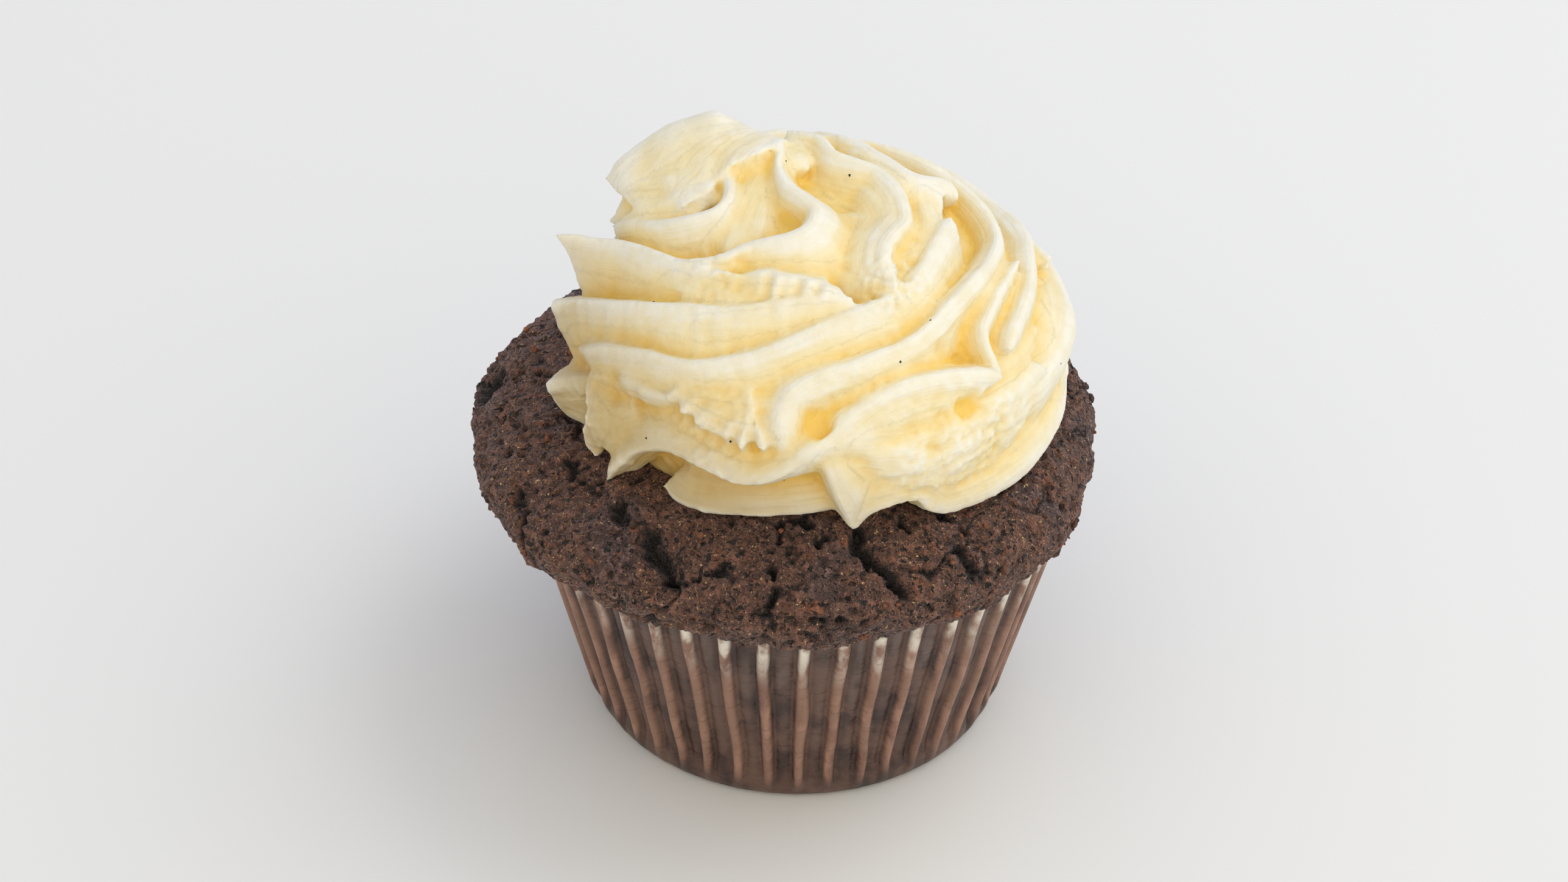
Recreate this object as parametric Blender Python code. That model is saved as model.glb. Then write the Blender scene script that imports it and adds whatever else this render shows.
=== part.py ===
"""A chocolate cupcake in its pleated paper case, topped with a piped swirl of vanilla buttercream.

Three sub-parts: paper_case, cake and icing. The origin is the middle of the case's flat
base, and the cupcake stands on Z = 0 with its front towards -Y.
Lengths are in millimetres until scaled() turns them into metres.
"""

import math

import bmesh
import bpy
import numpy as np

MM = 0.001
GAP = 0.3  # air between neighbouring sub-parts

# The paper case: a standard muffin liner, 50 mm across its base with a 32 mm wall.
PLEATS = 45
FIRST_CREST_DEG = 1.8
PAPER = 0.4
BASE_RADIUS = 24.3
CORNER_RADIUS = 26.3
CORNER_HEIGHT = 3.0
RIM_RADIUS = 33.0
RIM_HEIGHT = 31.0
PLEAT_DEPTH = 1.4
VALLEY_SHARE = 0.5  # share of each pleat that is the flat floor of its valley

# The cake: what filled the case, and the mushroomed top that rose over the rim.
CAKE_SIDES = 72
LIP_RADIUS = 37.2
LIP_HEIGHT = 36.8
LIP_SHIFT_X = -1.3
LIP_DROP = 4.6  # from the widest level down to the underside of the lip
DOME_RISE = 10.7
DOME_RINGS = 7
LIP_RINGS = 4

# The icing: a dome with piped ridges wound round it.
ICING_X = 0.6
ICING_RADIUS = 30.3
ICING_WIDEST = 50.0
ICING_TOP = 72.5
CORE_INSET = 4.4
CROWN_INSET = 3.0
FOOT_INSET = 1.5
CORE_FOOT = 39.0
CORE_SIDES = 48
CORE_RINGS = 14
RIDGE_STEPS = 6  # sections between two points of a ridge's route
FLANK_STEPS = 5  # facets on each flank of a ridge
TIP_ROUNDING = 1.5
HOLLOW_POWER = 1.7
ROUNDED_POWER = 2.1
UPPER_WIDTH_GAIN = 0.8
UPPER_DEPTH_GAIN = 1.7
LOWER_DEPTH_GAIN = 1.6
ROOT_DEPTH = 4.0
CUTTER_FOOT = 31.0
VOXEL = 0.9
KEEP_SHARE = 0.16  # share of the faces kept when the voxel skin is thinned out


def ridge(route, above, below, full=0.3, lean=0, ends=(4, 4)):
    """One ridge of the swirl.

    route: the crest, as (degrees to the right of the front, radius, height).
    above, below: (width, depth) of each flank, spread evenly along the route.
    full: 0 for hollow flanks and 1 for rounded ones. lean: degrees that the crest tips upwards.
    ends: the length over which each end grows from a point.
    """
    return {"route": route, "above": above, "below": below, "full": full, "lean": lean, "ends": ends}


def packing(route):
    """A low, broad ridge that fills a valley between others."""
    return ridge(route, above=[(4, 1)], below=[(4, 1)], full=1, ends=(5, 5))


RIDGES = {
    "front_skirt": ridge(
        [(-35, 27.6, 45), (-30, 28.2, 44.2), (-21, 28.6, 44.5), (-12, 28.6, 45.2),
         (0, 28.3, 46), (9, 28, 46.6)],
        above=[(8, 1.5), (8, 1.5)], below=[(1.5, 4), (1.5, 4)], full=0.7, ends=(1, 2),
    ),
    "skirt_corner": ridge(
        [(3, 28.5, 55), (5, 29.6, 53), (8, 30.2, 49), (10, 30.1, 46.4), (11, 29.8, 44.4)],
        above=[(12, 3), (14, 2.6), (8, 2)], below=[(1.5, 3), (2, 4), (1.5, 4)], full=0.9,
        ends=(2, 1.5),
    ),
    "right_skirt": ridge(
        [(10.5, 29.9, 44.6), (14, 30, 46.4), (19, 30.1, 47.3), (25, 30.1, 47.1),
         (29, 30.2, 45.2), (35, 30.2, 44), (48, 30.4, 43.6), (60, 30.6, 43.8), (75, 30.8, 44.4),
         (92, 31, 46)],
        above=[(6, 1.5), (9, 1.5), (10, 1.5), (9, 2)], below=[(1.5, 4), (1.5, 4)], full=0.8,
        ends=(1, 6),
    ),
    "right_patch": ridge(
        [(14, 29, 54.5), (24, 29.6, 54), (34, 29.4, 54.5), (44, 29, 55), (54, 29.2, 55),
         (66, 29.4, 55)],
        above=[(5, 2)], below=[(7, 1.2)], full=1, ends=(6, 8),
    ),
    "back_skirt": ridge(
        [(80, 30.5, 48), (120, 30, 46), (170, 29, 46), (220, 28.5, 45), (275, 28, 46),
         (292, 28, 46)],
        above=[(8, 3)], below=[(3, 6)], full=0.5, ends=(8, 3),
    ),
    "left_lobe": ridge(
        [(-76, 30.9, 47.6), (-72, 30.7, 49.2), (-66, 29.8, 51.4), (-58, 28.6, 53.8),
         (-50, 26.8, 55)],
        above=[(2, 1.5), (3.5, 2.5), (3, 3)], below=[(3, 0.6), (6, 1.6), (6, 4)], full=0.5,
        ends=(1.2, 3),
    ),
    "left_block": ridge(
        [(-58, 29, 54.6), (-55, 30, 52.6), (-53.5, 30.4, 51), (-54.5, 30.6, 49),
         (-55, 30.4, 46.8), (-52, 30, 45.4)],
        above=[(6, 2), (9, 1.2), (7, 1.5)], below=[(1.5, 4), (1.5, 5)], full=0.6, ends=(2, 2),
    ),
    "block_fold": ridge(
        [(-58, 28.8, 55), (-50, 28.4, 56.6), (-43, 28, 57.6), (-36, 28, 57.8),
         (-30, 27.4, 58.6)],
        above=[(1, 1.2), (1.2, 1.5)], below=[(2, 1.2), (2.5, 1.8)], full=0.7, ends=(2, 3),
    ),
    "lower": ridge(
        [(-48, 30, 43.4), (-46, 30.3, 45.6), (-42, 30, 48.6), (-37, 29.9, 51), (-30, 30, 52.6),
         (-22, 30.3, 52.3), (-14, 30.7, 51.5), (-8, 30.6, 52), (-3, 30.3, 53.8),
         (2, 29.6, 56.2), (8, 28.4, 58.4), (17, 27, 60.5), (28, 26.5, 61.2), (38, 27, 60.6),
         (46, 27.8, 59.4), (50, 28.6, 58.2)],
        above=[(2, 1.5), (6, 2), (8, 2), (6, 2.5), (3, 3.5), (3, 4), (2, 3)],
        below=[(1.2, 1.5), (2, 3), (2.5, 4), (3, 4), (7, 2.2), (7.5, 2.2), (3, 2)], full=0.75,
        ends=(3, 3),
    ),
    "torn_shelf": ridge(
        [(-35, 27, 58.4), (-31, 28, 58.2), (-27, 28.7, 57.4), (-21, 29.1, 56.4),
         (-15, 29.4, 55.8), (-10, 29.3, 55.9), (-6.5, 28.6, 56.4)],
        above=[(4, 1.2), (7, 1.2), (7, 1)], below=[(0.8, 2), (1, 3), (1, 2.5)], full=0.8,
        ends=(2, 2),
    ),
    "middle": ridge(
        [(-4, 29.3, 55.5), (-5.5, 28.6, 57.6), (-5, 27.4, 59.8), (-2.5, 26.4, 61.4),
         (2, 25.5, 62.5), (6, 25, 63), (12, 24.6, 63.4), (19, 24, 64), (28, 23.5, 64.5),
         (37, 22.6, 65.2), (46, 21.8, 65.9), (58, 21.5, 66.3), (70, 21.5, 66.2), (82, 21.5, 66),
         (92, 20.9, 66.4), (102, 19.4, 67.3), (112, 17.4, 68.4), (125, 14.6, 69.8),
         (150, 12, 70.5), (185, 9.5, 71.5)],
        above=[(7, 2.5), (6, 3), (3, 4), (3, 4), (3, 4), (3, 4)],
        below=[(4, 3), (4.5, 2.5), (4.5, 2.5), (4, 2.5), (4, 3), (4, 3)], full=0.8, lean=6,
        ends=(1.2, 6),
    ),
    "upper": ridge(
        [(-66, 28.4, 56), (-60, 28.4, 57.7), (-54, 27.8, 59.3), (-49, 27.2, 60.2),
         (-43, 26.6, 61), (-36, 26.3, 61.4), (-29, 25.8, 62), (-23, 25.1, 62.8),
         (-17, 24.2, 63.7), (-11, 23.2, 64.6), (-4, 22, 65.5), (4, 20.8, 66.4), (12, 20, 67),
         (20, 19.5, 67.4), (32, 18.9, 67.6), (44, 17.6, 68.3), (62, 16, 69.2), (80, 16.2, 69)],
        above=[(3, 3), (2.5, 3), (2, 3), (2, 3), (2.5, 3), (3, 3.5)],
        below=[(4, 2.5), (5, 2.6), (5.5, 2.6), (6, 2.2), (6, 2.2), (5, 3)], full=0.85, ends=(3, 2),
    ),
    "shelf": ridge(
        [(-86, 29.4, 55.6), (-80, 29.4, 57.6), (-72, 27.4, 60.2), (-62, 25.4, 62.4),
         (-52, 23.7, 64.1), (-39, 21.8, 65.7), (-26, 20.5, 66.6), (-13, 19, 67.6),
         (-2, 18.3, 68), (7, 18.1, 68.1), (16, 18.2, 67.8)],
        above=[(2, 2), (2.5, 2.5), (2, 2), (1.5, 1.5)], below=[(5, 3), (8, 2.4), (7, 1.8), (3, 1.2)],
        full=0.45, ends=(2, 4),
    ),
    "step": ridge(
        [(-88.5, 28.9, 63.9), (-86.5, 27, 64.5), (-82.5, 24.4, 65), (-78, 22.2, 65.8),
         (-69, 20.3, 66.9), (-58, 19.1, 67.7), (-46, 18.1, 68.2), (-36, 17.3, 68.6),
         (-26, 16.8, 68.9)],
        above=[(1.5, 1.5), (3, 3.5), (2.5, 3), (2, 2.5)],
        below=[(1.2, 1.5), (7, 3), (5, 2.4), (3.5, 2)], full=0.4, ends=(4, 3),
    ),
    "step_scrap": ridge(
        [(-28, 16.8, 68.4), (-22, 16.2, 68.9), (-18, 16, 69.2), (-8, 16.2, 69.2), (2, 16.6, 69),
         (9, 17.4, 68.5), (14, 18, 67.8)],
        above=[(2.5, 1.2)], below=[(6, 2)], full=0.6, ends=(3, 3),
    ),
    "small_crest": ridge(
        [(-94, 22.8, 63.8), (-84, 19.8, 66.9), (-74, 17.2, 68.7), (-66, 14.4, 70.2),
         (-63, 11.6, 71.2), (-72, 9.7, 71.8), (-93, 9.4, 72), (-110, 8.8, 72.2),
         (-126, 7.8, 72.6), (-150, 8.4, 72.8)],
        above=[(3, 2), (3, 2), (3, 3), (2, 2.5)], below=[(3.5, 3), (4, 3), (3.5, 3.5), (3, 3)],
        full=0.5, ends=(2, 3),
    ),
    "centre": ridge(
        [(-52, 18.4, 68), (-43, 17, 68.8), (-37, 15.6, 69.5), (-32, 13.8, 70.3),
         (-21, 12.3, 71), (-11, 11.4, 71.4), (-1, 9.9, 71.8), (4, 8, 72.2), (4, 6.4, 72.4),
         (-13, 4.7, 72.6), (-49, 3.8, 72.8), (-106, 4, 73.2), (-146, 6, 73.6)],
        above=[(2, 2), (3, 2.5), (4, 3), (3, 3), (2, 2)],
        below=[(3, 2.5), (4, 3), (6, 2.5), (4, 3), (2, 3)], full=0.6, ends=(3, 2),
    ),
    "inner": ridge(
        [(31, 19.4, 67.5), (32, 17.8, 68.5), (34, 15.7, 69.6), (40, 14, 70.3), (51, 13.2, 70.6),
         (61, 12.8, 70.8), (74, 11.2, 71.4), (88, 9.6, 71.9), (105, 8, 72.2), (120, 6, 72.6),
         (150, 5, 72.8), (175, 7.5, 72.8), (198, 10, 72.2)],
        above=[(4, 2), (7, 2), (9, 2), (7, 2.5), (3, 2), (1.5, 1.5)],
        below=[(2, 2), (2, 3), (2, 3), (3, 3), (3, 3)], full=0.6, ends=(2, 6),
    ),
    "inner_back": ridge(
        [(178, 12.4, 70.6), (160, 10.6, 71.4), (145, 10.4, 71.5), (132, 10, 71.6),
         (119, 10.4, 71.5), (107, 11.2, 71.3), (102, 12.8, 70.8), (104, 15, 69.9),
         (103, 16.6, 69.1), (97, 17.2, 68.2)],
        above=[(2, 2), (3, 2), (3, 3)], below=[(2, 2), (5, 1.6), (6, 2), (5, 2.4)], full=0.7,
        ends=(6, 3),
    ),
    "outer": ridge(
        [(56, 27.4, 59.6), (60, 26.8, 60.8), (68, 26.2, 61.6), (78, 25.8, 62.2),
         (90, 25.4, 62.4), (102, 25.6, 62), (120, 24.6, 61.8), (145, 22.5, 63.5),
         (185, 19.5, 66), (220, 16, 69)],
        above=[(2.5, 3), (4, 4)], below=[(3, 2), (5, 2.5), (6, 3)], full=0.7, lean=6, ends=(2, 6),
    ),
    "outer_fork": ridge(
        [(50, 28.4, 58), (49.5, 26.4, 61), (52, 25, 62.8), (58, 24.2, 63.6), (67, 23.7, 64.2),
         (82, 24.2, 63.8)],
        above=[(2, 2.5), (2.5, 3)], below=[(2.5, 2), (2.5, 1.6)], full=0.7, ends=(2, 3),
    ),
    "right_body": ridge(
        [(50, 28.2, 53), (66, 30, 53), (90, 30.8, 54.5), (125, 29.6, 55), (170, 28, 55),
         (220, 26.5, 54), (255, 26, 53), (272, 27, 52)],
        above=[(7, 2.5), (7, 5)], below=[(8, 2.5), (8, 5)], full=0.8, ends=(8, 8),
    ),
    "back_body": ridge(
        [(100, 29, 58.5), (150, 26.5, 60), (205, 24, 60.5), (240, 22.5, 60.5), (266, 23.6, 60)],
        above=[(5, 5)], below=[(7, 6)], full=0.4, lean=6, ends=(6, 5),
    ),
    "peak": ridge(
        [(-141, 13.6, 70.6), (-137, 13.7, 73.4), (-131, 14.9, 74.3), (-125, 17, 73.5),
         (-119, 19.2, 72.4), (-113, 21.6, 70.6), (-108, 23.4, 68.9), (-106, 24.6, 66.6)],
        above=[(6, 2), (14, 3.4), (15, 3.4), (9, 2.6)], below=[(4, 4), (5, 5)], full=0.7,
        ends=(1.5, 2),
    ),
    "peak_cheek": ridge(
        [(-150, 8.6, 71.6), (-125, 13.5, 71.4), (-112, 17, 69.6), (-102, 20.6, 67),
         (-98, 22.6, 64.5)],
        above=[(8, 2)], below=[(6, 3)], full=1, ends=(1.5, 4),
    ),
    "peak_valley": packing(
        [(-160, 8, 71.6), (-135, 9.4, 71.9), (-108, 11.2, 71.3), (-92, 12.8, 70.7),
         (-86, 15.4, 69.6), (-88, 18.6, 67.8), (-92, 21.6, 65)]
    ),
    "peak_foot": packing(
        [(-78, 11.6, 70.4), (-86, 14, 70), (-93, 17.4, 68.2), (-97, 20.6, 66), (-99, 23.4, 63)]
    ),
    "top_valley": packing(
        [(-42, 13.8, 67.8), (-50, 11.2, 69.2), (-64, 8.6, 70.5), (-90, 6.6, 71.4),
         (-125, 6, 71.8), (-160, 5, 71.6)]
    ),
    "crown_valley": packing(
        [(-60, 3, 71.6), (-120, 5, 72.1), (-158, 7.4, 72.1), (-176, 10.4, 71.1),
         (-184, 14, 69.2)]
    ),
    "rim_valley": packing([(30, 17.6, 67.4), (40, 15.6, 68.2), (54, 14.2, 68.6)]),
    "step_valley": packing([(-48, 19.4, 66.2), (-26, 18.2, 67.2), (-5, 17.6, 67.4)]),
    "torn_valley": packing([(-28, 26.6, 58.4), (-12, 26.4, 59), (-3, 25.6, 60)]),
    "right_valley": packing([(46, 27, 57.6), (60, 27.4, 57.2), (75, 27.2, 57)]),
    "inner_valley": packing([(46, 15.4, 68.6), (66, 14.6, 69), (88, 13, 69.6)]),
}


def scaled(points):
    """Millimetres to metres."""
    return np.asarray(points, float) * MM


def new_object(name, points, faces, material):
    """A mesh object from points in millimetres, with its normals turned outwards."""
    mesh = bpy.data.meshes.new(name)
    mesh.from_pydata(scaled(points).tolist(), [], [list(map(int, face)) for face in faces])
    shape = bmesh.new()
    shape.from_mesh(mesh)
    bmesh.ops.recalc_face_normals(shape, faces=shape.faces)
    shape.to_mesh(mesh)
    shape.free()
    mesh.materials.append(material)
    mesh.shade_smooth()
    mesh.set_sharp_from_angle(angle=math.radians(50))
    thing = bpy.data.objects.new(name, mesh)
    bpy.context.scene.collection.objects.link(thing)
    return thing


def new_material(name, colour, roughness):
    """A plain Principled material."""
    material = bpy.data.materials.new(name)
    material.use_nodes = True
    shader = material.node_tree.nodes["Principled BSDF"]
    shader.inputs["Base Color"].default_value = (*colour, 1)
    shader.inputs["Roughness"].default_value = roughness
    shader.inputs["Metallic"].default_value = 0
    return material


def ring_points(azimuth, radius, height, centre_x=0.0):
    """Points round the Z axis. Azimuth is in degrees, 0 at the front and growing to the right."""
    turn = np.radians(azimuth)
    radius = np.broadcast_to(radius, turn.shape)
    height = np.broadcast_to(height, turn.shape)
    return np.stack([centre_x + radius * np.sin(turn), -radius * np.cos(turn), height], axis=-1)


def skin_rings(rings):
    """Points and faces of a closed body through equal rings, with a point in the middle of each end."""
    sides = len(rings[0])
    points = np.vstack([*rings, rings[0].mean(axis=0)[None], rings[-1].mean(axis=0)[None]])
    start, end = len(rings) * sides, len(rings) * sides + 1
    last = (len(rings) - 1) * sides
    faces = []
    for side in range(sides):
        following = (side + 1) % sides
        faces.append((start, following, side))
        faces.append((end, last + side, last + following))
        for ring in range(0, last, sides):
            faces.append((ring + side, ring + following, ring + sides + following, ring + sides + side))
    return points, faces


def pleated_ring(radius, height, depth):
    """One level of the pleated wall: for each pleat a crest and the two ends of its valley's floor."""
    pitch = 360 / PLEATS
    azimuths = []
    radii = []
    for pleat in range(PLEATS):
        crest = FIRST_CREST_DEG + pleat * pitch
        azimuths += [crest, crest + pitch * (1 - VALLEY_SHARE) / 2, crest + pitch * (1 + VALLEY_SHARE) / 2]
        radii += [radius, radius - depth, radius - depth]
    return ring_points(np.array(azimuths), np.array(radii), height)


def build_paper_case():
    """The pleated cup, made as one skin: up the outside, over the rim and down the inside."""
    outside = [
        (BASE_RADIUS, 0.0, 0.0),
        (BASE_RADIUS + 1.1, 0.7, PLEAT_DEPTH * 0.2),
        (CORNER_RADIUS, CORNER_HEIGHT, PLEAT_DEPTH * 0.6),
        (RIM_RADIUS, RIM_HEIGHT, PLEAT_DEPTH),
    ]
    inside = [(radius - PAPER, max(height, PAPER), depth) for radius, height, depth in reversed(outside)]
    rings = [pleated_ring(*level) for level in outside + inside]
    paper = new_material("greased paper", (0.16, 0.1, 0.08), 0.45)
    return new_object("paper_case", *skin_rings(rings), paper)


def lip_unevenness(azimuth):
    """How far the lip of the cake stands out of round, in millimetres."""
    turn = np.radians(azimuth)
    return (
        0.5 * np.cos(2 * turn + 0.9)
        + 0.35 * np.sin(3 * turn - 0.4)
        + 0.25 * np.sin(7 * turn + 1.3)
        + 0.2 * np.cos(11 * turn)
    )


def dome_level(level, raised=0.0):
    """A ring of the cake's top: level 0 is the widest part of the lip and 1 is the crown."""
    azimuth = np.arange(CAKE_SIDES) * 360 / CAKE_SIDES
    lean = level * math.pi / 2
    radius = (LIP_RADIUS + raised + lip_unevenness(azimuth)) * math.cos(lean)
    height = LIP_HEIGHT + (DOME_RISE + raised) * math.sin(lean)
    return ring_points(azimuth, radius, height, LIP_SHIFT_X)


def lip_underside(level):
    """A ring below the lip: level 0 is its widest part and 1 is where it reaches the rim."""
    azimuth = np.arange(CAKE_SIDES) * 360 / CAKE_SIDES
    lean = level * math.pi / 2
    wide = LIP_RADIUS + lip_unevenness(azimuth)
    radius = RIM_RADIUS - 1.0 + (wide - RIM_RADIUS + 1.0) * math.cos(lean) ** 0.7
    height = LIP_HEIGHT - LIP_DROP * math.sin(lean)
    return ring_points(azimuth, radius, height, LIP_SHIFT_X * (1 - level))


def build_cake():
    """The sponge: a tapered plug inside the case, the rounded lip over its rim, and a low dome."""
    azimuth = np.arange(CAKE_SIDES) * 360 / CAKE_SIDES
    inset = PLEAT_DEPTH + PAPER + GAP + 0.1
    rings = [
        ring_points(azimuth, BASE_RADIUS - inset, PAPER + GAP),
        ring_points(azimuth, CORNER_RADIUS - inset, CORNER_HEIGHT + 0.5),
        ring_points(azimuth, RIM_RADIUS - inset, RIM_HEIGHT),
        ring_points(azimuth, RIM_RADIUS - inset, RIM_HEIGHT + 2 * GAP),
    ]
    rings += [lip_underside(level / LIP_RINGS) for level in range(LIP_RINGS, 0, -1)]
    rings += [dome_level(level / DOME_RINGS) for level in range(DOME_RINGS)]
    sponge = new_material("chocolate sponge", (0.045, 0.022, 0.018), 0.9)
    return new_object("cake", *skin_rings(rings), sponge)


def build_core():
    """The plain dome inside the ridges, as points and faces."""
    azimuth = np.arange(CORE_SIDES) * 360 / CORE_SIDES
    wide = ICING_RADIUS - CORE_INSET
    rings = [ring_points(azimuth, wide - FOOT_INSET, CORE_FOOT, ICING_X)]
    for ring in range(CORE_RINGS):
        lean = ring / CORE_RINGS * math.pi / 2
        height = ICING_WIDEST + (ICING_TOP - ICING_WIDEST - CROWN_INSET) * math.sin(lean)
        rings.append(ring_points(azimuth, wide * math.cos(lean), height, ICING_X))
    return skin_rings(rings)


def smooth_route(points, steps):
    """A curve through every point, by Catmull-Rom."""
    points = np.asarray(points, float)
    padded = np.vstack([2 * points[0] - points[1], points, 2 * points[-1] - points[-2]])
    t = (np.arange(steps) / steps)[:, None]
    pieces = []
    for a, b, c, d in zip(padded, padded[1:], padded[2:], padded[3:]):
        pieces.append(
            b + 0.5 * t * (c - a + t * (2 * a - 5 * b + 4 * c - d + t * (3 * b - 3 * c + d - a)))
        )
    return np.vstack([*pieces, points[-1:]])


def unit(vectors):
    """Each row at length 1."""
    return vectors / np.linalg.norm(vectors, axis=1, keepdims=True)


def dome_normals(points):
    """The envelope dome's outward direction at each point."""
    sideways = (points[:, :2] - (ICING_X, 0)) / ICING_RADIUS**2
    upwards = np.maximum(points[:, 2:] - ICING_WIDEST, 0) / (ICING_TOP - ICING_WIDEST) ** 2
    return unit(np.hstack([sideways, upwards]))


def flank(width, depth, full):
    """One flank from the crest outwards, as (across, in): hollow, rounded or between."""
    share = np.arange(1, FLANK_STEPS + 1) / FLANK_STEPS
    soft = min(TIP_ROUNDING / width, 0.6)
    softened = np.clip((np.hypot(share, soft) - soft) / (math.hypot(1, soft) - soft), 0, 1)
    hollow = 1 - (1 - softened) ** HOLLOW_POWER
    rounded = share**ROUNDED_POWER
    return np.stack([share * width, -depth * (hollow + full * (rounded - hollow))], axis=1)


def ridge_section(above, below, full):
    """A ridge's outline as (down, out) offsets from its crest."""
    upper = flank(above[0] * UPPER_WIDTH_GAIN, above[1] * UPPER_DEPTH_GAIN, full / 2)[::-1] * (-1, 1)
    lower = flank(below[0], below[1] * LOWER_DEPTH_GAIN, full)
    root = ((below[0] - above[0]) / 2, -UPPER_DEPTH_GAIN * max(above[1], below[1]) - ROOT_DEPTH)
    return np.vstack([upper, [(0, 0)], lower, root])


def spread(pairs, count):
    """(width, depth) pairs spread evenly over a number of rings."""
    stations = np.linspace(0, 1, len(pairs))
    places = np.linspace(0, 1, count)
    return np.stack([np.interp(places, stations, column) for column in np.array(pairs, float).T], axis=1)


def length_along(crest):
    """Distance from the first point of a line to each of its points."""
    return np.concatenate([[0], np.cumsum(np.linalg.norm(np.diff(crest, axis=0), axis=1))])


def build_ridge(route, above, below, full, lean, ends):
    """A blade swept along its crest, growing from a point at each end, as points and faces."""
    azimuth, radius, height = np.array(route, float).T
    crest = smooth_route(ring_points(azimuth, radius, height, ICING_X), RIDGE_STEPS)
    along = unit(np.gradient(crest, axis=0))
    outward = dome_normals(crest)
    outward = unit(outward - (outward * along).sum(axis=1, keepdims=True) * along)
    downward = np.cross(along, outward)
    tilt = math.radians(lean)
    blade = outward * math.cos(tilt) - downward * math.sin(tilt)
    reach = length_along(crest)
    growth = np.minimum(reach / ends[0], (reach[-1] - reach) / ends[1])
    size = np.clip(growth, 0.02, 1) ** 0.6
    stations = zip(crest, downward, blade, size, spread(above, len(crest)), spread(below, len(crest)))
    rings = []
    for here, down, out, wide, upper, lower in stations:
        section = ridge_section(upper, lower, full) * wide
        rings.append(here + section[:, :1] * down + section[:, 1:] * out)
    return skin_rings(rings)


def build_icing(cutter):
    """The dome and its ridges under one skin, thinned out and cut to sit just clear of the cake."""
    bodies = [build_core()] + [build_ridge(**shape) for shape in RIDGES.values()]
    points = []
    faces = []
    for body_points, body_faces in bodies:
        start = sum(map(len, points))
        points.append(body_points)
        faces += [tuple(start + corner for corner in face) for face in body_faces]
    buttercream = new_material("buttercream", (0.87, 0.76, 0.5), 0.5)
    icing = new_object("icing", np.vstack(points), faces, buttercream)
    skin = icing.modifiers.new("one skin", "REMESH")
    skin.mode = "VOXEL"
    skin.voxel_size = VOXEL * MM
    skin.use_smooth_shade = True
    thinned = icing.modifiers.new("fewer facets", "DECIMATE")
    thinned.ratio = KEEP_SHARE
    seat = icing.modifiers.new("seat on the cake", "BOOLEAN")
    seat.operation = "DIFFERENCE"
    seat.object = cutter
    return icing


def build_seat_cutter():
    """The cake's top, raised by the gap, as a body that cuts the underside of the icing."""
    azimuth = np.arange(CAKE_SIDES) * 360 / CAKE_SIDES
    rings = [ring_points(azimuth, LIP_RADIUS, CUTTER_FOOT, LIP_SHIFT_X)]
    rings += [dome_level(level / DOME_RINGS, raised=GAP) for level in range(DOME_RINGS)]
    cutter = new_object("seat_cutter", *skin_rings(rings), new_material("cutter", (0.5, 0.5, 0.5), 0.5))
    cutter.hide_render = True
    cutter.display_type = "WIRE"
    return cutter


def main():
    for thing in list(bpy.data.objects):
        bpy.data.objects.remove(thing, do_unlink=True)
    build_paper_case()
    build_cake()
    build_icing(build_seat_cutter())


main()
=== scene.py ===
# %% [markdown]
# # A cupcake and its swirl
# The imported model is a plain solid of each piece: a pleated paper case, a chocolate sponge and
# a swirl of buttercream. This lesson keeps their places and sizes and gives each one its
# finished shape and surface: soaked paper, open crumb and soft, ridged icing.

# %% Load the frame
import math

import bmesh
import bpy
import numpy as np
from mathutils import Matrix, Vector, kdtree, noise


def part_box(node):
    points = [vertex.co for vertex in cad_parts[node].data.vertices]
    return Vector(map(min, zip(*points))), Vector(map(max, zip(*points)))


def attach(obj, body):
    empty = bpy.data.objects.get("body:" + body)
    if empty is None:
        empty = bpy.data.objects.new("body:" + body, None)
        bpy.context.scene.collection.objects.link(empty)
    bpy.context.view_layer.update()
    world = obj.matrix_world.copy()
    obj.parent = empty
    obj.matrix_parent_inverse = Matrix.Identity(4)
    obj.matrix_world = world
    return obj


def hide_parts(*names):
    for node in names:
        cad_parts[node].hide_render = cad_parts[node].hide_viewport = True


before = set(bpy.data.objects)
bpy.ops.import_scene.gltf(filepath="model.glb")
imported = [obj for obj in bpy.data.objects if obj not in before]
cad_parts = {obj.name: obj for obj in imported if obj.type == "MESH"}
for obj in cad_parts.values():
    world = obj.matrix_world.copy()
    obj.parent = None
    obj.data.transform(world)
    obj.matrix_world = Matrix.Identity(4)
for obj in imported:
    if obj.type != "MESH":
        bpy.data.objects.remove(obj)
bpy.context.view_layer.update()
MM = 0.001
print("nodes:", sorted(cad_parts))

# %% [markdown]
# ## Sizes
# Blender works in metres, and a cake is thought of in millimetres, so lengths below are in
# millimetres and one helper changes them. The driving sizes are read from the model's boxes, so
# that the finished pieces stay where the solids are.

# %% Read the driving sizes


def node_box(node):
    """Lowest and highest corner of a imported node, in millimetres."""
    low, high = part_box(node)
    return np.array(low) / MM, np.array(high) / MM


CASE_LOW, CASE_HIGH = node_box("paper_case")
CAKE_LOW, CAKE_HIGH = node_box("cake")
ICING_LOW, ICING_HIGH = node_box("icing")
RIM_RADIUS = (CASE_HIGH[0] - CASE_LOW[0]) / 2
RIM_HEIGHT = CASE_HIGH[2]
CAKE_MIDDLE_X = (CAKE_LOW[0] + CAKE_HIGH[0]) / 2
CROWN_HEIGHT = CAKE_HIGH[2]
print("case", CASE_LOW.round(1), CASE_HIGH.round(1))
print("cake", CAKE_LOW.round(1), CAKE_HIGH.round(1))
print("icing", ICING_LOW.round(1), ICING_HIGH.round(1))

# %% [markdown]
# ## Camera
# The cupcake is seen from above its rim, close enough for the case to taper with distance. The
# camera stands 400 mm from the middle of the base and looks a little above it. It is turned and
# rolled by small angles, as a camera held in the hand is.

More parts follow.
